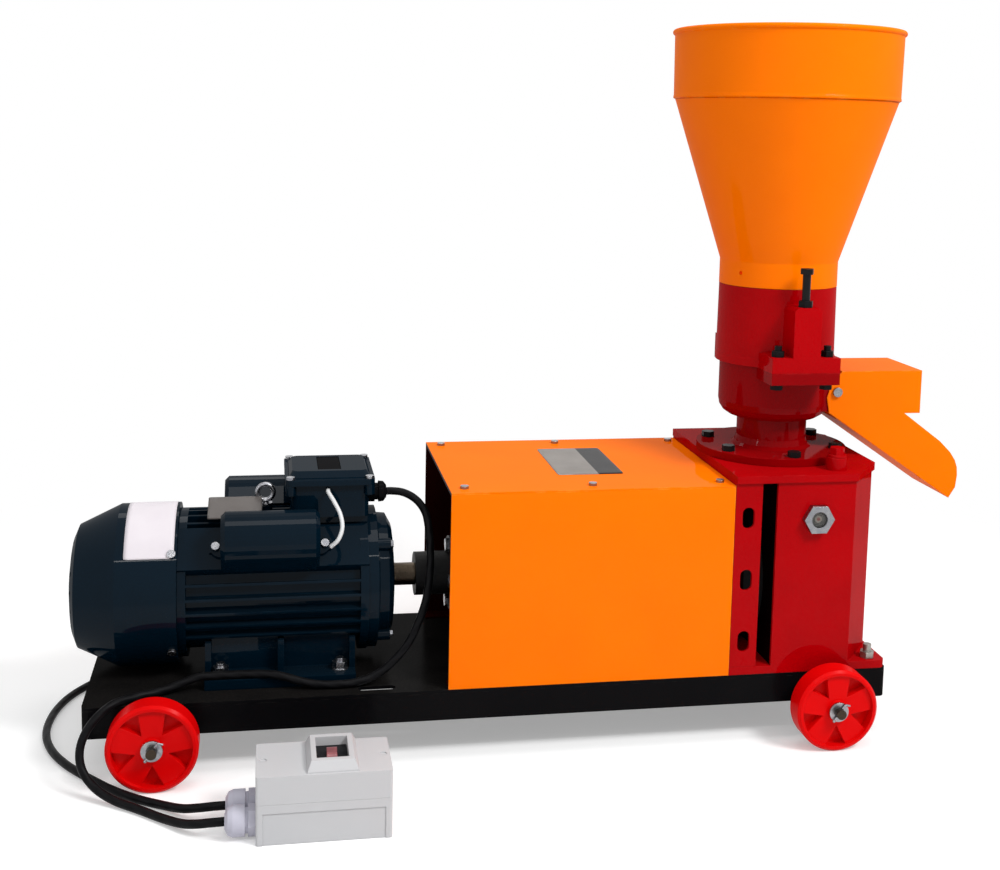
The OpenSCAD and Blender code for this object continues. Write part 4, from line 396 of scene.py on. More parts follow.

# %% [markdown]
# Real corners are never perfectly sharp, and paint rubs thin on them first. The Bevel node gives
# the normal that a rounded corner would have. Where it departs from the face's true normal there
# is an edge, and a patchy noise picks part of it only. There a finish lays its edge colour: rubbed
# paint on most finishes, and on the orange enamel a light orange that is a painted highlight along
# the folded edges. A Bevel modifier would round the shape itself, but the CAD meshes stay as they are.

# %% Edges group
SHARP_LIMITS, RUB_AND_HIGHLIGHT_LIMITS = (0.985, 0.8), (0.48, 0.62)
edges, edges_in, edges_out = new_group("worn_and_highlit_edges",
    {"Radius": 0.0015, "Rub and highlight": 0.5, "Patch size": 60.0}, {"Mask": 0.0, "Normal": [0.0, 0.0, 0.0]})
rounded = add_node(edges, "ShaderNodeBevel", {"Radius": edges_in["Radius"]}, samples=6).outputs[0]
true_normal = add_node(edges, "ShaderNodeNewGeometry").outputs["True Normal"]
likeness = add_node(edges, "ShaderNodeVectorMath", {0: rounded, 1: true_normal},
    operation="DOT_PRODUCT").outputs["Value"]
sharp = ramp(edges, likeness, *SHARP_LIMITS)
patches = noise(edges, on_object(edges), edges_in["Patch size"], 5.0)
rubs_and_highlights = ramp(edges, patches, *RUB_AND_HIGHLIGHT_LIMITS)
feed(edges, edges_out["Mask"], times(edges, times(edges, sharp, rubs_and_highlights), edges_in["Rub and highlight"]))
feed(edges, edges_out["Normal"], rounded)
print("edges group", len(edges.nodes), "nodes")

# %% [markdown]
# Dust settles where a face looks up, in soft clouds with fine specks. Particles would be more than
# a film this thin needs: a mask from the normal and two noises does it.

# %% Settled dust group
SPECK_SIZE, SPECK_LIMITS = 900.0, (0.45, 0.75)
UPWARD_LIMITS, FILM_SHARE = (0.55, 0.98), 0.6
dust, dust_in, dust_out = new_group("settled_dust", {"Amount": 0.2, "Patch size": 25.0}, {"Mask": 0.0})
dust_normal = add_node(dust, "ShaderNodeNewGeometry").outputs["Normal"]
facing = add_node(dust, "ShaderNodeSeparateXYZ", {0: dust_normal}).outputs[2]
dust_place = on_object(dust)
clouds = noise(dust, dust_place, dust_in["Patch size"], 6.0)
specks = ramp(dust, noise(dust, dust_place, SPECK_SIZE, 2.0), *SPECK_LIMITS)
film = plus(dust, times(dust, clouds, FILM_SHARE), times(dust, specks, FILM_SHARE))
lying = times(dust, ramp(dust, facing, *UPWARD_LIMITS), film)
feed(dust, dust_out["Mask"], times(dust, lying, dust_in["Amount"]))
print("dust group", len(dust.nodes), "nodes")

# %% [markdown]
# A finish is a Principled shader fed by these groups. Written as a function, one call makes one
# real finish: its colour, how much it wanders, its gloss, its ripple, the colour laid on its edges
# (rubbed paint on most, a painted highlight on the orange enamel), and how much dust lies on it.

# %% Finish builder
def srgb(r, g, b):
    """Turns a colour read off a screen, 0 to 255, into the linear values that shaders use."""
    c = np.array([r, g, b]) / 255
    linear = np.where(c <= 0.04045, c / 12.92, ((c + 0.055) / 1.055) ** 2.4)
    return (*linear.tolist(), 1.0)


DUST_COLOUR = srgb(150, 142, 130)
DUST_ROUGHNESS = 0.5


def make_finish(name, colour, patch, rough=0.3, spread=0.1, patch_size=12.0, patch_share=0.5,
        ripple=(180.0, 1.0), grain=(1400.0, 0.2), bump=0.0002, metal=0.0, coat=0.0, coat_rough=0.05,
        specular=0.5, edge=0.0015, rub_and_highlight=0.0, rub_and_highlight_colour=None, dusty=0.0):
    """Colours are linear. Sizes of patches, ripple and grain are counts to the metre, ripple and
    grain pair that count with a depth, and bump and edge are metres."""
    material = bpy.data.materials.new(name)
    material.use_nodes = True
    tree = material.node_tree
    shader = tree.nodes["Principled BSDF"]
    surface = add_node(tree, "ShaderNodeGroup",
        {"Colour": colour, "Patch colour": patch, "Patch size": patch_size, "Patch share": patch_share,
         "Ripple size": ripple[0], "Ripple depth": ripple[1], "Grain size": grain[0],
         "Grain depth": grain[1], "Roughness": rough, "Spread": spread}, node_tree=skin).outputs
    corner = add_node(tree, "ShaderNodeGroup", {"Radius": edge, "Rub and highlight": rub_and_highlight}, node_tree=edges).outputs
    tint, roughness = surface["Colour"], surface["Roughness"]
    if rub_and_highlight:
        tint = mix_colour(tree, corner["Mask"], tint, rub_and_highlight_colour or patch)
    if dusty:
        settled = add_node(tree, "ShaderNodeGroup", {"Amount": dusty}, node_tree=dust).outputs["Mask"]
        tint = mix_colour(tree, settled, tint, DUST_COLOUR)
        roughness = plus(tree, roughness, times(tree, settled, DUST_ROUGHNESS))
    relief = add_node(tree, "ShaderNodeBump", {"Height": surface["Height"], "Normal": corner["Normal"],
        "Distance": bump, "Strength": 1.0}).outputs[0]
    for key, value in (("Base Color", tint), ("Roughness", roughness), ("Normal", relief),
            ("Metallic", metal), ("Coat Weight", coat), ("Coat Roughness", coat_rough),
            ("Specular IOR Level", specular)):
        feed(tree, shader.inputs[key], value)
    return material


print("finish builder ready")

# %% [markdown]
# The guard, hopper and chute are sheet steel under orange enamel: a smooth, glossy skin with a
# very shallow ripple. The gearbox and barrels are castings and plate under red enamel, where the
# sand of the mould still shows as a finer, deeper relief. The gloss is a thin coat over a body
# with no shine of its own, because a second shine would bleach such full colours.

# %% Paints
# The light orange laid on the orange enamel's edges is a painted highlight along the folded sheet edges.
def make_orange(name):
    return make_finish(name, srgb(255, 119, 0), srgb(250, 113, 0), rough=0.22, spread=0.08,
        ripple=(70.0, 1.0), grain=(900.0, 0.12), bump=0.00025, specular=0.0, coat=0.1, coat_rough=0.04,
        edge=0.002, rub_and_highlight=0.6, rub_and_highlight_colour=srgb(255, 170, 60), dusty=0.01)


def make_red(name, colour, patch):
    return make_finish(name, colour, patch, rough=0.28, spread=0.12, ripple=(230.0, 1.0),
        grain=(1100.0, 0.4), bump=0.0004, specular=0.0, coat=0.1, coat_rough=0.06, edge=0.0018,
        rub_and_highlight=0.4, rub_and_highlight_colour=srgb(206, 44, 44), dusty=0.015)


CASTING_RED, CASTING_RED_PATCH = srgb(173, 0, 6), srgb(150, 0, 5)
finishes = {
    "orange_paint": make_orange("orange_enamel"),
    "red_paint": make_red("red_enamel", CASTING_RED, CASTING_RED_PATCH),
    "black_paint": make_finish("black_enamel", srgb(9, 9, 11), srgb(15, 14, 15), rough=0.34,
        spread=0.14, ripple=(160.0, 1.0), grain=(1000.0, 0.4), bump=0.0003, specular=0.0, coat=0.06,
        coat_rough=0.2, edge=0.0014, rub_and_highlight=0.3, rub_and_highlight_colour=srgb(56, 54, 52), dusty=0.04),
    "motor_paint": make_finish("motor_enamel", srgb(3, 21, 33), srgb(2, 15, 25), rough=0.24,
        spread=0.1, ripple=(260.0, 1.0), grain=(1200.0, 0.4), bump=0.0004, specular=0.0, coat=0.17,
        coat_rough=0.04, edge=0.0018, rub_and_highlight=0.3, rub_and_highlight_colour=srgb(26, 52, 68), dusty=0.015),
    "wheel_red": make_finish("wheel_plastic", srgb(222, 2, 4), srgb(204, 1, 3), rough=0.34,
        spread=0.1, patch_size=20.0, ripple=(90.0, 1.0), grain=(1500.0, 0.3), bump=0.0002,
        specular=0.04, coat=0.05, coat_rough=0.2, edge=0.0016, rub_and_highlight=0.2, rub_and_highlight_colour=srgb(240, 60, 52),
        dusty=0.01),
}
print("paints", sorted(finishes))

# %% [markdown]
# Bare metal is a mirror with scratches. Zinc plating has a milky bluish bloom, blackened bolts
# are almost as dark as the frame, and copper windings shine through their varnish.

# %% Metals
def make_zinc(name):
    return make_finish(name, srgb(158, 158, 160), srgb(128, 130, 138), rough=0.28, spread=0.2,
        patch_size=180.0, patch_share=0.8, ripple=(500.0, 0.7), grain=(2600.0, 0.6), bump=0.00008,
        metal=1.0, edge=0.0006, rub_and_highlight=0.2, rub_and_highlight_colour=srgb(190, 190, 192))


def make_black_oxide(name, metal, specular):
    return make_finish(name, srgb(15, 14, 16), srgb(24, 23, 23), rough=0.38, spread=0.15,
        patch_size=120.0, ripple=(600.0, 0.8), grain=(2200.0, 0.5), bump=0.0001, metal=metal,
        specular=specular, edge=0.0006, rub_and_highlight=0.4, rub_and_highlight_colour=srgb(80, 77, 74))


finishes.update({
    "machined_steel": make_finish("machined_steel", srgb(172, 170, 166), srgb(140, 136, 130),
        rough=0.3, spread=0.2, patch_size=40.0, ripple=(420.0, 0.6), grain=(2400.0, 0.8),
        bump=0.0001, metal=1.0, edge=0.0008, rub_and_highlight=0.3, rub_and_highlight_colour=srgb(210, 208, 204)),
    "zinc_steel": make_zinc("zinc_plate"),
    "black_bolts": make_black_oxide("black_oxide", 0.3, 0.2),
    "dark_iron": make_finish("dark_iron", srgb(18, 18, 20), srgb(28, 27, 26), rough=0.5, spread=0.2,
        patch_size=60.0, ripple=(300.0, 1.0), grain=(1400.0, 0.8), bump=0.0004, metal=0.2,
        specular=0.2, edge=0.001, rub_and_highlight=0.4, rub_and_highlight_colour=srgb(84, 80, 76), dusty=0.05),
    "copper_winding": make_finish("varnished_copper", srgb(150, 84, 42), srgb(110, 56, 26),
        rough=0.35, spread=0.2, patch_size=90.0, ripple=(320.0, 1.0), grain=(2000.0, 0.5),
        bump=0.0006, metal=0.8, coat=0.5),
})
print("metals added", len(finishes))

# %% [markdown]
# The switch box, its glands and the plug are mouldings. Their skin copies the spark-eroded mould:
# an even fine grain with little gloss.

# %% Plastics
finishes.update({
    "grey_plastic": make_finish("light_grey_moulding", srgb(199, 199, 201), srgb(192, 193, 196),
        rough=0.5, specular=0.2, spread=0.08, patch_size=8.0, ripple=(700.0, 0.6),
        grain=(2600.0, 1.0), bump=0.00012, edge=0.0012, rub_and_highlight=0.2, rub_and_highlight_colour=srgb(228, 228, 228)),
    "gland_plastic": make_finish("gland_moulding", srgb(192, 191, 204), srgb(182, 180, 196),
        rough=0.42, specular=0.2, spread=0.08, patch_size=30.0, ripple=(500.0, 0.5),
        grain=(2200.0, 0.6), bump=0.0001, edge=0.001, rub_and_highlight=0.2, rub_and_highlight_colour=srgb(220, 220, 224)),
    "toggle_plastic": make_finish("toggle_moulding", srgb(150, 84, 88), srgb(104, 54, 58),
        rough=0.3, patch_size=120.0, ripple=(500.0, 0.5), grain=(2200.0, 0.6), bump=0.0001,
        edge=0.0008, rub_and_highlight=0.2, rub_and_highlight_colour=srgb(196, 150, 150)),
    "black_plastic": make_finish("black_moulding", srgb(13, 13, 15), srgb(20, 20, 22), rough=0.45,
        ripple=(420.0, 0.6), grain=(2000.0, 0.8), bump=0.00015, specular=0.0, coat=0.03, edge=0.001,
        rub_and_highlight=0.2, rub_and_highlight_colour=srgb(48, 48, 50), dusty=0.01),
    "white_plastic": make_finish("white_sleeve", srgb(222, 224, 226), srgb(206, 206, 204),
        rough=0.45, patch_size=60.0, ripple=(300.0, 0.8), grain=(1800.0, 0.6), bump=0.00015),
})
print("plastics added", len(finishes))

# %% [markdown]
# Two finishes need a pattern of their own on top. The cores twisted inside the cable show faintly
# through its sheath, and shafts cut on a lathe carry very fine rings. Both add to the height that
# the finish already has, so one helper finds that link and adds to it.

# %% Extra relief on a finish
def add_relief(material, pattern, depth):
    """Adds pattern times depth to the height that feeds the material's bump."""
    tree = material.node_tree
    height = next(n for n in tree.nodes if n.type == "BUMP").inputs["Height"]
    feed(tree, height, plus(tree, height.links[0].from_socket, times(tree, pattern, depth)))


def cover_colour(material, mask, colour):
    """Lays another colour over the finish where the mask is 1."""
    tree = material.node_tree
    base = tree.nodes["Principled BSDF"].inputs["Base Color"]
    feed(tree, base, mix_colour(tree, mask, base.links[0].from_socket, colour))


print("relief helper ready")

# %% [markdown]
# Rubber cable is dark with a dull shine. The helix of its cores follows the cable's bends, which
# no pattern in space could do, so it is read from the attribute that the tube carries. The sight
# glass is a clear window: glass is mostly a matter of sending light through.

# %% Rubber and glass
HELIX_DEPTH, HELIX_SHADE = 2.0, 0.35
GLASS_CLEARNESS = 0.97


def make_rubber():
    """Extruded rubber is smooth with a fine grain. The helix lifts it and lightens it a little."""
    material = make_finish("cable_rubber", srgb(10, 10, 12), srgb(18, 18, 20), rough=0.4,
        spread=0.12, patch_size=40.0, ripple=(500.0, 0.8), grain=(2200.0, 0.6), bump=0.00012,
        specular=0.06, edge=0.0004, dusty=0.01)
    tree = material.node_tree
    twist = add_node(tree, "ShaderNodeAttribute", attribute_name="twist").outputs["Fac"]
    add_relief(material, twist, HELIX_DEPTH)
    cover_colour(material, times(tree, twist, HELIX_SHADE), srgb(26, 26, 28))
    return material


def make_sight_glass():
    material = make_finish("sight_glass", srgb(206, 204, 196), srgb(196, 194, 180), rough=0.03,
        spread=0.02, specular=0.2, patch_size=80.0, ripple=(120.0, 0.4), grain=(900.0, 0.05),
        bump=0.00004, edge=0.0004)
    shader = material.node_tree.nodes["Principled BSDF"]
    shader.inputs["Transmission Weight"].default_value = GLASS_CLEARNESS
    return material


finishes["cable_rubber"] = make_rubber()
finishes["sight_glass"] = make_sight_glass()
print("finishes", len(finishes))

# %% [markdown]
# A turned shaft's scratches run round it as very fine rings, and the motor's bare shaft has
# browned a little. The rings are a wave on the Object coordinate along the shaft, so they stay
# in place while the shaft turns.

# %% Turned shaft
RING_SIZE, RING_DEPTH = 900.0, 0.8


def make_turned(name, colour, patch, axis):
    """The wave's bands stack along one axis of the object: X for the motor shaft, Z for the
    upright one."""
    material = make_finish(name, colour, patch, rough=0.3, spread=0.2, patch_size=50.0,
        ripple=(420.0, 0.4), grain=(2400.0, 0.6), bump=0.00008, metal=1.0, edge=0.0008, rub_and_highlight=0.3,
        rub_and_highlight_colour=srgb(206, 200, 190))
    tree = material.node_tree
    wave = {"Vector": on_object(tree), "Scale": RING_SIZE, "Distortion": 1.5, "Detail": 1.0}
    rings = add_node(tree, "ShaderNodeTexWave", wave, wave_type="BANDS", bands_direction=axis)
    add_relief(material, rings.outputs["Fac"], RING_DEPTH)
    return material


turned_along_x = make_turned("turned_shaft", srgb(112, 100, 86), srgb(88, 76, 62), "X")
turned_upright = make_turned("turned_upright", srgb(168, 166, 162), srgb(138, 134, 128), "Z")
own_finish = {"motor_rotor": turned_along_x, "pinion_shaft": turned_along_x,
    "main_shaft": turned_upright, "thrower_plate": turned_upright}
print("turned pieces", sorted(own_finish))

# %% [markdown]
# Some solids carry two colours. The guard's hollow and the gearbox's wall in the slot behind its
# end frame are painted dark: that dark is painted shade, where they lie out of the light. One set of
# bolts is partly plated, and the axles are plainer than their washers. Other material slots on the
# mesh would do it, but the CAD meshes stay as they are, so a mask worked out from the point's place
# on the object picks the colour.

# %% Masks by place
HALF_SHEET = 0.6 * MM
SLOT_WALL_X = 282 * MM
PAINTED_LIP = 4 * MM
FOOT_BOLTS_BELOW = 150 * MM
WHEELBASE_MIDDLE, HALF_WHEELBASE, AXLE_Z, AXLE_RADIUS = -50 * MM, 404 * MM, 51 * MM, 6.2 * MM


def guard_hollow_shade(tree, at):
    """The hollow under the cover. The guard is the same enamel inside; the dark red laid on the hollow is
    painted shade, where it lies out of the light.
    """
    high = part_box("guard_cover")[1]
    between = less(tree, size_of(tree, at[1]), high[1] - HALF_SHEET)
    return times(tree, between, less(tree, at[2], high[2] - HALF_SHEET))


def slot_wall_shade(tree, at):
    """The housing's wall in the slot behind the end frame, a little in from the machine's front. The
    near-black laid on it is painted shade of the narrow slot.
    """
    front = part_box("gearbox_housing")[1][1] - PAINTED_LIP
    on_wall = less(tree, size_of(tree, minus(tree, at[0], SLOT_WALL_X)), HALF_SHEET)
    return times(tree, on_wall, less(tree, size_of(tree, at[1]), front))


def foot_bolt(tree, at):
    """The bolts on the base plate are zinc plated, those of the mill above are blackened."""
    return less(tree, at[2], FOOT_BOLTS_BELOW)


def axle_core(tree, at):
    """The axle itself is plain dark steel; its washers and split pins are plated. Inside the core
    the squared distance from an axle's centre line is below the squared radius."""
    across = minus(tree, size_of(tree, minus(tree, at[0], WHEELBASE_MIDDLE)), HALF_WHEELBASE)
    up = minus(tree, at[2], AXLE_Z)
    return less(tree, plus(tree, times(tree, across, across), times(tree, up, up)), AXLE_RADIUS ** 2)


def recolour(material, where, colour, metallic=None):
    """Lays the colour over the part of the finish where the mask is 1, and makes that part
    metallic if asked. The mask is where(tree, at), with at the X, Y and Z on the object."""
    tree = material.node_tree
    mask = where(tree, place_parts(tree))
    cover_colour(material, mask, colour)
    if metallic is not None:
        feed(tree, tree.nodes["Principled BSDF"].inputs["Metallic"], times(tree, mask, metallic))
    return material


print("masks ready")

# %% Finishes of single pieces
# The guard's hollow takes a dark red that is painted shade.
own_finish["guard_body"] = recolour(make_orange("guard_enamel_shaded_inside"), guard_hollow_shade, srgb(44, 8, 6))
own_finish["guard_cover"] = own_finish["guard_body"]
# The gearbox's wall in the slot takes a near-black that is painted shade.
own_finish["gearbox_housing"] = recolour(make_red("housing_enamel_shaded_slot", CASTING_RED, CASTING_RED_PATCH),
    slot_wall_shade, srgb(14, 3, 3))
# The lower bowl is the same cast red, painted darker than the barrel above it: this darker red is painted
# shade of the parts above.
own_finish["lower_barrel"] = make_red("bowl_enamel_painted_shade", srgb(142, 0, 5), srgb(122, 0, 4))
own_finish["mill_bolts"] = recolour(make_black_oxide("mill_bolts", 0.0, 0.1), foot_bolt,
    srgb(150, 148, 142), metallic=0.9)
own_finish["wheel_axles"] = recolour(make_zinc("axle_metal"), axle_core, srgb(62, 54, 46))
own_finish["breaker"] = make_finish("breaker_moulding", srgb(22, 22, 25), srgb(34, 33, 35), rough=0.4,
    patch_size=60.0, ripple=(300.0, 0.8), grain=(1800.0, 0.6), bump=0.00015, specular=0.1, edge=0.0008)
print("pieces with a finish of their own", len(own_finish))

# %% [markdown]
# The record lists, for every node, the slot its finish comes from. Each node takes that finish,
# unless the cells above made it one of its own. Setting them by hand in the material tab would
# work too, but a loop can't forget one of sixty.

# %% Put each finish on its nodes
def dress(piece, material):
    """Gives the piece this material and no other."""
    piece.data.materials.clear()
    piece.data.materials.append(material)


slot_of = {entry["node"]: entry["material_slot"] for entry in frame["record"]["subparts"]}
for name, solid in nodes.items():
    dress(solid, own_finish.get(name, finishes[slot_of[name]]))
dress(motor_cable, finishes["cable_rubber"])
dress(supply_cable, finishes["cable_rubber"])
dress(capacitor_wire, finishes["white_plastic"])
print("dressed", len(nodes), "nodes")

# %% [markdown]
# The plates on the machine are thin sheets. A sheet is a grid over its own width and height, with
# the corners drawn in to a round, and a function says where each point of it goes: flat on a
# cover, or wrapped round the motor's cowl. A second grid below closes it. A flattened cube would
# be quicker, but could not follow the cowl.

# %% Thin sheets
def thin_sheet(name, half_u, half_v, corner, thick, place, rows=24, columns=24):
    """The corner square of side c becomes a quarter disc: x times the root of 1 - (y/c)^2 / 2, and
    the same for y. place(u, v, h) gives the point at height h above the carrier."""
    u, v = np.meshgrid(np.linspace(-half_u, half_u, rows), np.linspace(-half_v, half_v, columns),
        indexing="ij")
    flat_u, flat_v = half_u - corner, half_v - corner
    x = np.clip(np.abs(u) - flat_u, 0, None)
    y = np.clip(np.abs(v) - flat_v, 0, None)
    u = np.sign(u) * (np.minimum(np.abs(u), flat_u) + x * np.sqrt(1 - (y / corner) ** 2 / 2))
    v = np.sign(v) * (np.minimum(np.abs(v), flat_v) + y * np.sqrt(1 - (x / corner) ** 2 / 2))
    top, bottom = place(u, v, thick), place(u, v, 0.0)
    at = np.arange(rows * columns).reshape(rows, columns)
    quads = np.stack([at[:-1, :-1], at[1:, :-1], at[1:, 1:], at[:-1, 1:]], -1).reshape(-1, 4)
    under = quads[:, ::-1] + rows * columns
    rim = np.concatenate([at[:-1, 0], at[-1, :-1], at[:0:-1, -1], at[0, :0:-1]])
    ahead = np.roll(rim, -1)
    walls = np.stack([rim, rim + rows * columns, ahead + rows * columns, ahead], -1)
    points = np.concatenate([top.reshape(-1, 3), bottom.reshape(-1, 3)])
    smooth = [True] * (2 * len(quads)) + [False] * len(walls)
    return build_mesh(name, points, np.concatenate([quads, under, walls]).tolist(), smooth)


def flat_place(centre, along, across):
    """A plane through centre; along and across are unit vectors, and height goes along their
    cross product."""
    centre, along, across = (np.array(w, float) for w in (centre, along, across))
    up = np.cross(along, across)
    return lambda u, v, h: centre + u[..., None] * along + v[..., None] * across + h * up


print("sheet helper ready")

# %% [markdown]
# The plate on the guard is brushed aluminium, half a millimetre thick, with a black field at one
# end. No nails hold it, so it is glued, and lies on a thin bed of glue. The field could be a
# second sheet, but ink has no thickness to speak of, so a mask in the material draws it.

# %% Guard plate
PLATE_X, PLATE_Y = (24.0, 107.0), (-61.0, 77.0)
PLATE_CORNER, PLATE_THICK, GLUE = 3 * MM, 0.5 * MM, 0.05 * MM
FIELD_FROM, FIELD_EDGE = 0.62, 0.05 * MM
PLATE_SHINE = 0.4
guard_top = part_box("guard_cover")[1][2]
aluminium = make_finish("brushed_aluminium", srgb(134, 129, 124), srgb(116, 111, 106), rough=0.42,
    spread=0.1, patch_size=30.0, ripple=(500.0, 0.6), grain=(3000.0, 1.0), bump=0.00006,
    metal=PLATE_SHINE, specular=0.2, edge=0.0004, rub_and_highlight=0.4, rub_and_highlight_colour=srgb(190, 188, 184))


def ink_field(material, edge_x, colour):
    """Colours what lies right of a line across the plate, and makes the ink less metallic."""
    tree = material.node_tree
    ink = ramp(tree, place_parts(tree)[0], edge_x - FIELD_EDGE, edge_x + FIELD_EDGE)
    cover_colour(material, ink, colour)
    metallic = tree.nodes["Principled BSDF"].inputs["Metallic"]
    feed(tree, metallic, times(tree, minus(tree, 1.0, ink), PLATE_SHINE))


plate_wide, plate_deep = PLATE_X[1] - PLATE_X[0], PLATE_Y[1] - PLATE_Y[0]
plate_middle = (sum(PLATE_X) / 2 * MM, sum(PLATE_Y) / 2 * MM, guard_top + GLUE)
ink_field(aluminium, (PLATE_X[0] + FIELD_FROM * plate_wide) * MM, srgb(22, 20, 22))
guard_plate = thin_sheet("guard_plate", plate_wide / 2 * MM, plate_deep / 2 * MM,
    corner=PLATE_CORNER, thick=PLATE_THICK, place=flat_place(plate_middle, (1, 0, 0), (0, 1, 0)))
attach(guard_plate, "base")
dress(guard_plate, aluminium)
print("guard plate on a top at", round(guard_top, 4))

# %% [markdown]
# The motor carries a bare metal plate, tilted towards the front. Turning a finished plate would
# leave it a turned object. Here its middle lies on a circle round the shaft and its face is square
# to the radius, so one angle gives both its place and its tilt.

# %% Motor plate
SHAFT_Z = 185.0
PLATE_RADIUS, PLATE_ANGLE = 101.5, math.radians(15)
MOTOR_PLATE_X, HALF_LONG, HALF_HIGH = -366.0, 32, 25
cosine, sine = math.cos(PLATE_ANGLE), math.sin(PLATE_ANGLE)
on_circle = np.array([MOTOR_PLATE_X, -PLATE_RADIUS * sine, SHAFT_Z + PLATE_RADIUS * cosine]) * MM
motor_plate = thin_sheet("motor_plate", HALF_LONG * MM, HALF_HIGH * MM, corner=2 * MM,
    thick=1.2 * MM, place=flat_place(on_circle, (1, 0, 0), (0, cosine, sine)))
dress(motor_plate, make_finish("motor_plate", srgb(84, 79, 77), srgb(72, 67, 64), rough=0.45,
    spread=0.1, patch_size=40.0, ripple=(400.0, 0.6), grain=(2600.0, 0.8), bump=0.00008, metal=0.2,
    specular=0.2, edge=0.0006, rub_and_highlight=0.5, rub_and_highlight_colour=srgb(150, 146, 140), dusty=0.1))
print("motor plate middle", on_circle.round(4))

# %% [markdown]
# A white sheet is stuck round the cowl, and a black moulded inlay sits in the lid of the terminal
# box. Projecting a flat sheet on the cowl would stretch it. Turning its height into an angle
# keeps its size, as when real paper is laid on.

# %% Cowl sheet and lid inlay
COWL_X, COWL_RADIUS, SHEET_ANGLE = -463.5 * MM, 97.6 * MM, math.radians(67.5)
SHEET_HALF, INLAY_HALF = (28.5 * MM, 57 * MM), (13.7 * MM, 32.7 * MM)
LID_RECESS = 1.38 * MM


def cowl_place(u, v, h):
    """The height of the sheet becomes an angle: v over the cowl's radius, counted from the sheet's
    middle, which lies 67.5 degrees up from the front."""
    radius = COWL_RADIUS + h
    a = SHEET_ANGLE + v / COWL_RADIUS
    return np.stack([COWL_X + u, -radius * np.cos(a), SHAFT_Z * MM + radius * np.sin(a)], -1)


cowl_sheet = thin_sheet("cowl_sticker", SHEET_HALF[0], SHEET_HALF[1], corner=2.5 * MM,
    thick=0.25 * MM, place=cowl_place, rows=12, columns=48)
dress(cowl_sheet, make_finish("sticker_paper", srgb(222, 216, 221), srgb(214, 207, 213), rough=0.55,
    spread=0.08, specular=0.2, patch_size=26.0, ripple=(60.0, 1.0), grain=(1600.0, 0.3),
    bump=0.0002, edge=0.0004))
lid_low, lid_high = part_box("terminal_box_lid")
lid_middle = ((lid_low[0] + lid_high[0]) / 2, 0, lid_high[2] - LID_RECESS)
lid_inlay = thin_sheet("lid_inlay", INLAY_HALF[0], INLAY_HALF[1], corner=2 * MM, thick=0.9 * MM,
    place=flat_place(lid_middle, (1, 0, 0), (0, 1, 0)))
dress(lid_inlay, finishes["black_plastic"])
for piece, slot_name in ((motor_plate, "zinc_steel"), (cowl_sheet, "white_plastic"),
        (lid_inlay, "black_plastic")):
    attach(piece, "base")
print("bare plates", [p.name for p in (motor_plate, cowl_sheet, lid_inlay)])

# %% [markdown]
# Behind the oil window sits a disc: dark outside, pale in the middle, with the red level mark at
# its centre. A texture image could colour it, but a radius that the mesh carries with it tells
# the rings apart at any size.

# %% Oil level disc
DISC_RADIUS, DISC_THICK, DISC_GAP = 7.8 * MM, 0.8 * MM, 1.2 * MM
DISC_HOLE, FIRST_RING, DISC_RINGS, DISC_SIDES = 0.2 * MM, 1 * MM, 18, 48
RED_RADIUS, PALE_RADIUS, HALF_EDGE = 2.2 * MM, 4.6 * MM, 0.2 * MM
glass_low, glass_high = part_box("sight_glass_lens")
window_x, window_z = (glass_low[0] + glass_high[0]) / 2, (glass_low[2] + glass_high[2]) / 2
window_y = glass_high[1] + DISC_GAP
radii = np.concatenate([[DISC_HOLE], np.linspace(FIRST_RING, DISC_RADIUS, DISC_RINGS), [DISC_RADIUS]])
turns = np.arange(DISC_SIDES) * 2 * np.pi / DISC_SIDES
backward = np.concatenate([np.full(DISC_RINGS + 1, 0.0), [DISC_THICK]])
disc_points = np.stack([
    window_x + radii[:, None] * np.cos(turns)[None, :],
    window_y + backward[:, None] + 0 * turns[None, :],
    window_z + radii[:, None] * np.sin(turns)[None, :]], -1)
level_disc = grid_mesh("oil_level_disc", disc_points[::-1])
ring_radius = level_disc.data.attributes.new("ring", "FLOAT", "POINT")
ring_radius.data.foreach_set("value", np.repeat(radii[::-1], DISC_SIDES).astype(np.float32))


def make_level_disc():
    """Colour steps with the radius: red to 2.2 mm, pale to 4.6 mm, dark beyond."""
    material = make_finish("level_disc", srgb(24, 24, 27), srgb(34, 33, 35), rough=0.4,
        patch_size=200.0, ripple=(600.0, 0.5), grain=(2600.0, 0.5), bump=0.00006, specular=0.1)
    tree = material.node_tree
    radius = add_node(tree, "ShaderNodeAttribute", attribute_name="ring").outputs["Fac"]
    for limit, colour in ((PALE_RADIUS, srgb(200, 190, 190)), (RED_RADIUS, srgb(180, 10, 14))):
        cover_colour(material, ramp(tree, radius, limit + HALF_EDGE, limit - HALF_EDGE), colour)
    return material


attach(level_disc, "base")
dress(level_disc, make_level_disc())
print("level disc at", round(window_x, 4), round(window_y, 4), round(window_z, 4))

# %% [markdown]
# A hook-and-loop strap holds the coil. Its outline is the tight band round the three turns that
# it ties: at every angle the strap touches the turn that reaches furthest that way. A scaled ring
# would leave gaps at some turns and cut into others.

# %% Coil tie
TIE_ANGLE, TIE_WIDTH, TIE_THICK = 180, 14.0, 1.2
TIE_SLACK, FLOOR_GAP, PRESSED_FLAT = 0.1, 0.05, 0.6


def tie_outline(centres, radius, steps=72):
    """For the outward direction n at each angle, the point is the centre whose dot product with n
    is greatest, plus radius times n. Round turns give arcs joined by straight runs."""
    a = np.arange(steps) * 2 * np.pi / steps
    n = np.stack([np.cos(a), np.sin(a)], 1)
    furthest = np.argmax(n @ centres.T, axis=1)
    return centres[furthest] + radius * n


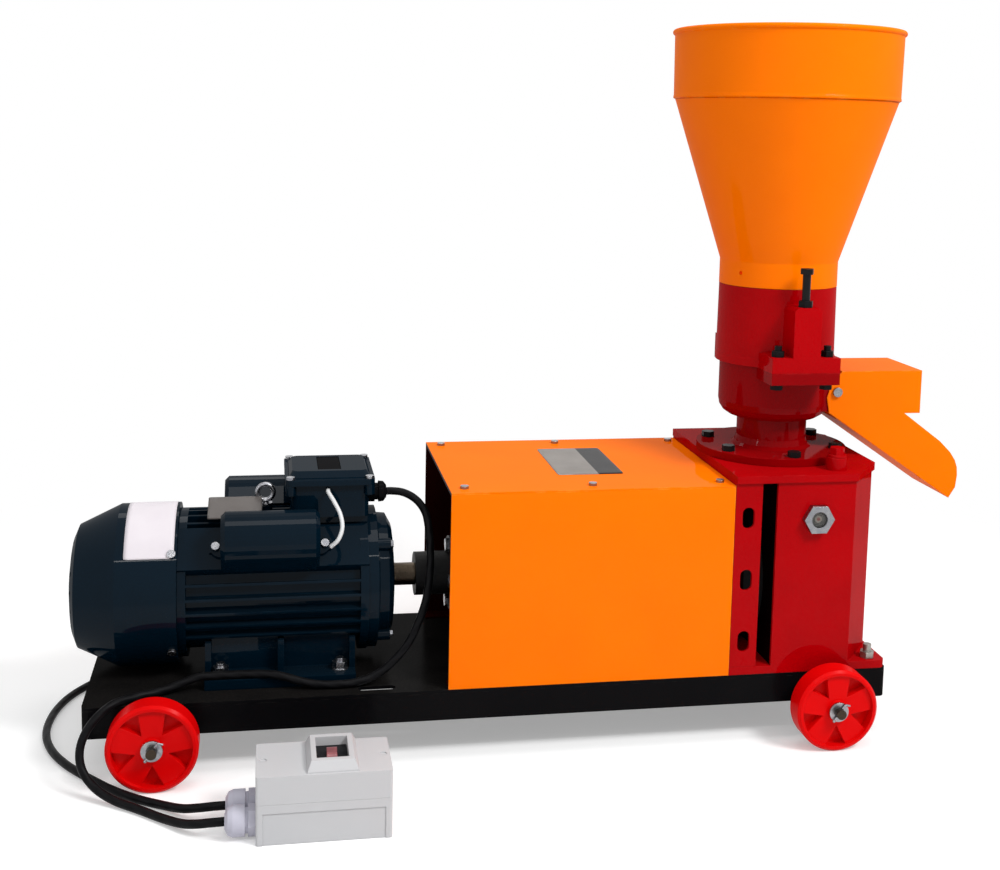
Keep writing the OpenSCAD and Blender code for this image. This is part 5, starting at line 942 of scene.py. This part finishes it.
first_pass = (TIE_ANGLE - COIL_START) / 360
tied_radius, tied_height = coil_turn(first_pass + np.arange(COIL_TURNS))
tied = np.stack([tied_radius.round(1), tied_height], 1)
inner = tie_outline(tied, CABLE / 2 + TIE_SLACK)
outer = tie_outline(tied, CABLE / 2 + TIE_SLACK + TIE_THICK)
outer[:, 1] = np.maximum(outer[:, 1], FLOOR_GAP)
inner[:, 1] = np.maximum(inner[:, 1], FLOOR_GAP + TIE_THICK * PRESSED_FLAT)
edge = TIE_WIDTH / 2
angle = math.radians(TIE_ANGLE)
radial = np.array([math.cos(angle), math.sin(angle), 0])
sideways = np.array([-math.sin(angle), math.cos(angle), 0])
middle, upward = np.array([*COIL_CENTRE, 0]), np.array([0, 0, 1])
tie_points = np.stack([middle + outline[:, :1] * radial + outline[:, 1:] * upward + shift * sideways
    for outline, shift in ((outer, -edge), (outer, edge), (inner, edge), (inner, -edge))]) * MM
coil_tie = grid_mesh("coil_tie", tie_points, caps=False, closed=True)
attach(coil_tie, "base")
dress(coil_tie, finishes["black_plastic"])
print("coil tie faces", len(coil_tie.data.polygons))

# %% [markdown]
# The machine stands on a plain pale floor. Near the machine the floor takes light and shadow as
# any matt surface does. Further out it fades to the white of the background, so no horizon shows.
# A curved studio backdrop would do the same for one camera only. This fade depends on nothing but
# the distance from the machine and the kind of ray, so it holds from every side.

# %% Floor
FLOOR_RADII = np.array([0.001, 0.4, 0.8, 1.2, 1.6, 2.4, 4.0, 8.0])
FLOOR_SIDES, FLOOR_DROP = 64, 0.2 * MM
floor_turns = np.arange(FLOOR_SIDES) * 2 * np.pi / FLOOR_SIDES
reach = FLOOR_RADII[:, None]
floor_points = np.stack([reach * np.cos(floor_turns), reach * np.sin(floor_turns),
    0 * reach * floor_turns - FLOOR_DROP], -1)
floor = grid_mesh("floor", floor_points, caps=False)
print("floor out to", FLOOR_RADII[-1], "m")

# %% Floor paint
FLOOR_LIFT = 0.32
FADE_FROM, FADE_TO = 0.7, 1.3


def seen_directly(tree):
    """1 for rays from the camera, from a glossy surface or through glass, 0 for diffuse light."""
    rays = add_node(tree, "ShaderNodeLightPath").outputs
    mirrored = maths(tree, "MAXIMUM", rays["Is Glossy Ray"], rays["Is Transmission Ray"])
    return maths(tree, "MAXIMUM", rays["Is Camera Ray"], mirrored)


floor_paint = bpy.data.materials.new("pale_floor")
floor_paint.use_nodes = True
tree = floor_paint.node_tree
matt = tree.nodes["Principled BSDF"]
for key, value in (("Base Color", (0.8, 0.8, 0.8, 1)), ("Roughness", 0.6), ("Specular IOR Level", 0.2)):
    matt.inputs[key].default_value = value
direct = seen_directly(tree)
lift = add_node(tree, "ShaderNodeEmission", {"Strength": times(tree, direct, FLOOR_LIFT)})
white = add_node(tree, "ShaderNodeEmission", {"Strength": 1.0})
lit = add_node(tree, "ShaderNodeAddShader", {0: matt.outputs[0], 1: lift.outputs[0]})
distance = add_node(tree, "ShaderNodeVectorMath", {0: on_object(tree)}, operation="LENGTH").outputs["Value"]
far_away = ramp(tree, distance, FADE_FROM, FADE_TO, interpolation_type="SMOOTHSTEP")
faded = add_node(tree, "ShaderNodeMixShader",
    {0: times(tree, direct, far_away), 1: lit.outputs[0], 2: white.outputs[0]})
feed(tree, tree.nodes["Material Output"].inputs["Surface"], faded.outputs[0])
dress(floor, floor_paint)
print("floor fades from", FADE_FROM, "to", FADE_TO, "m")

# %% [markdown]
# Light comes mostly from a soft box above on the right and in front. A long narrow one above the
# front draws the bright lines along the cowl and the fins, a wide one hangs overhead, and weaker
# ones stand on the left and behind for the rims. The world adds an even fill, and shows itself as
# plain white to the camera and to shiny surfaces. One strong sun would be simpler, but its hard
# shadows belong to a yard and not to a studio.

# %% World and lamps
FILL = 0.42
LAMPS = {
    "key_light": ((1.5, -1.7, 2.5), (0, 0, 0.3), (0.9, 0.7), 64),
    "strip_light": ((-0.3, -1.7, 2.1), (-0.2, 0, 0.25), (2.2, 0.07), 8),
    "top_light": ((0.1, -0.2, 2.6), (0, 0, 0.3), (1.3, 0.8), 13),
    "left_light": ((-2.4, -1.3, 1.5), (-0.3, 0, 0.25), (0.14, 0.8), 7),
    "back_light": ((-0.4, 1.9, 2.4), (0, 0, 0.35), (1.2, 0.6), 8),
}
world = bpy.data.worlds.new("white_studio")
world.use_nodes = True
bpy.context.scene.world = world
sky = world.node_tree
backdrop = sky.nodes["Background"]
backdrop.inputs["Color"].default_value = (1, 1, 1, 1)
feed(sky, backdrop.inputs["Strength"], plus(sky, times(sky, seen_directly(sky), 1 - FILL), FILL))


def soft_box(name, place, target, size, watts):
    """A rectangular lamp at a place, facing a target."""
    lamp = bpy.data.lights.new(name, "AREA")
    lamp.shape, lamp.size, lamp.size_y, lamp.energy = "RECTANGLE", size[0], size[1], watts
    aim = (Vector(target) - Vector(place)).to_track_quat("-Z", "Y")
    add_object(name, lamp).matrix_world = Matrix.Translation(place) @ aim.to_matrix().to_4x4()


for name, (place, target, size, watts) in LAMPS.items():
    soft_box(name, place, target, size, watts)
bpy.context.scene.view_settings.view_transform = "Standard"
print("fill", FILL, "lamps", list(LAMPS))
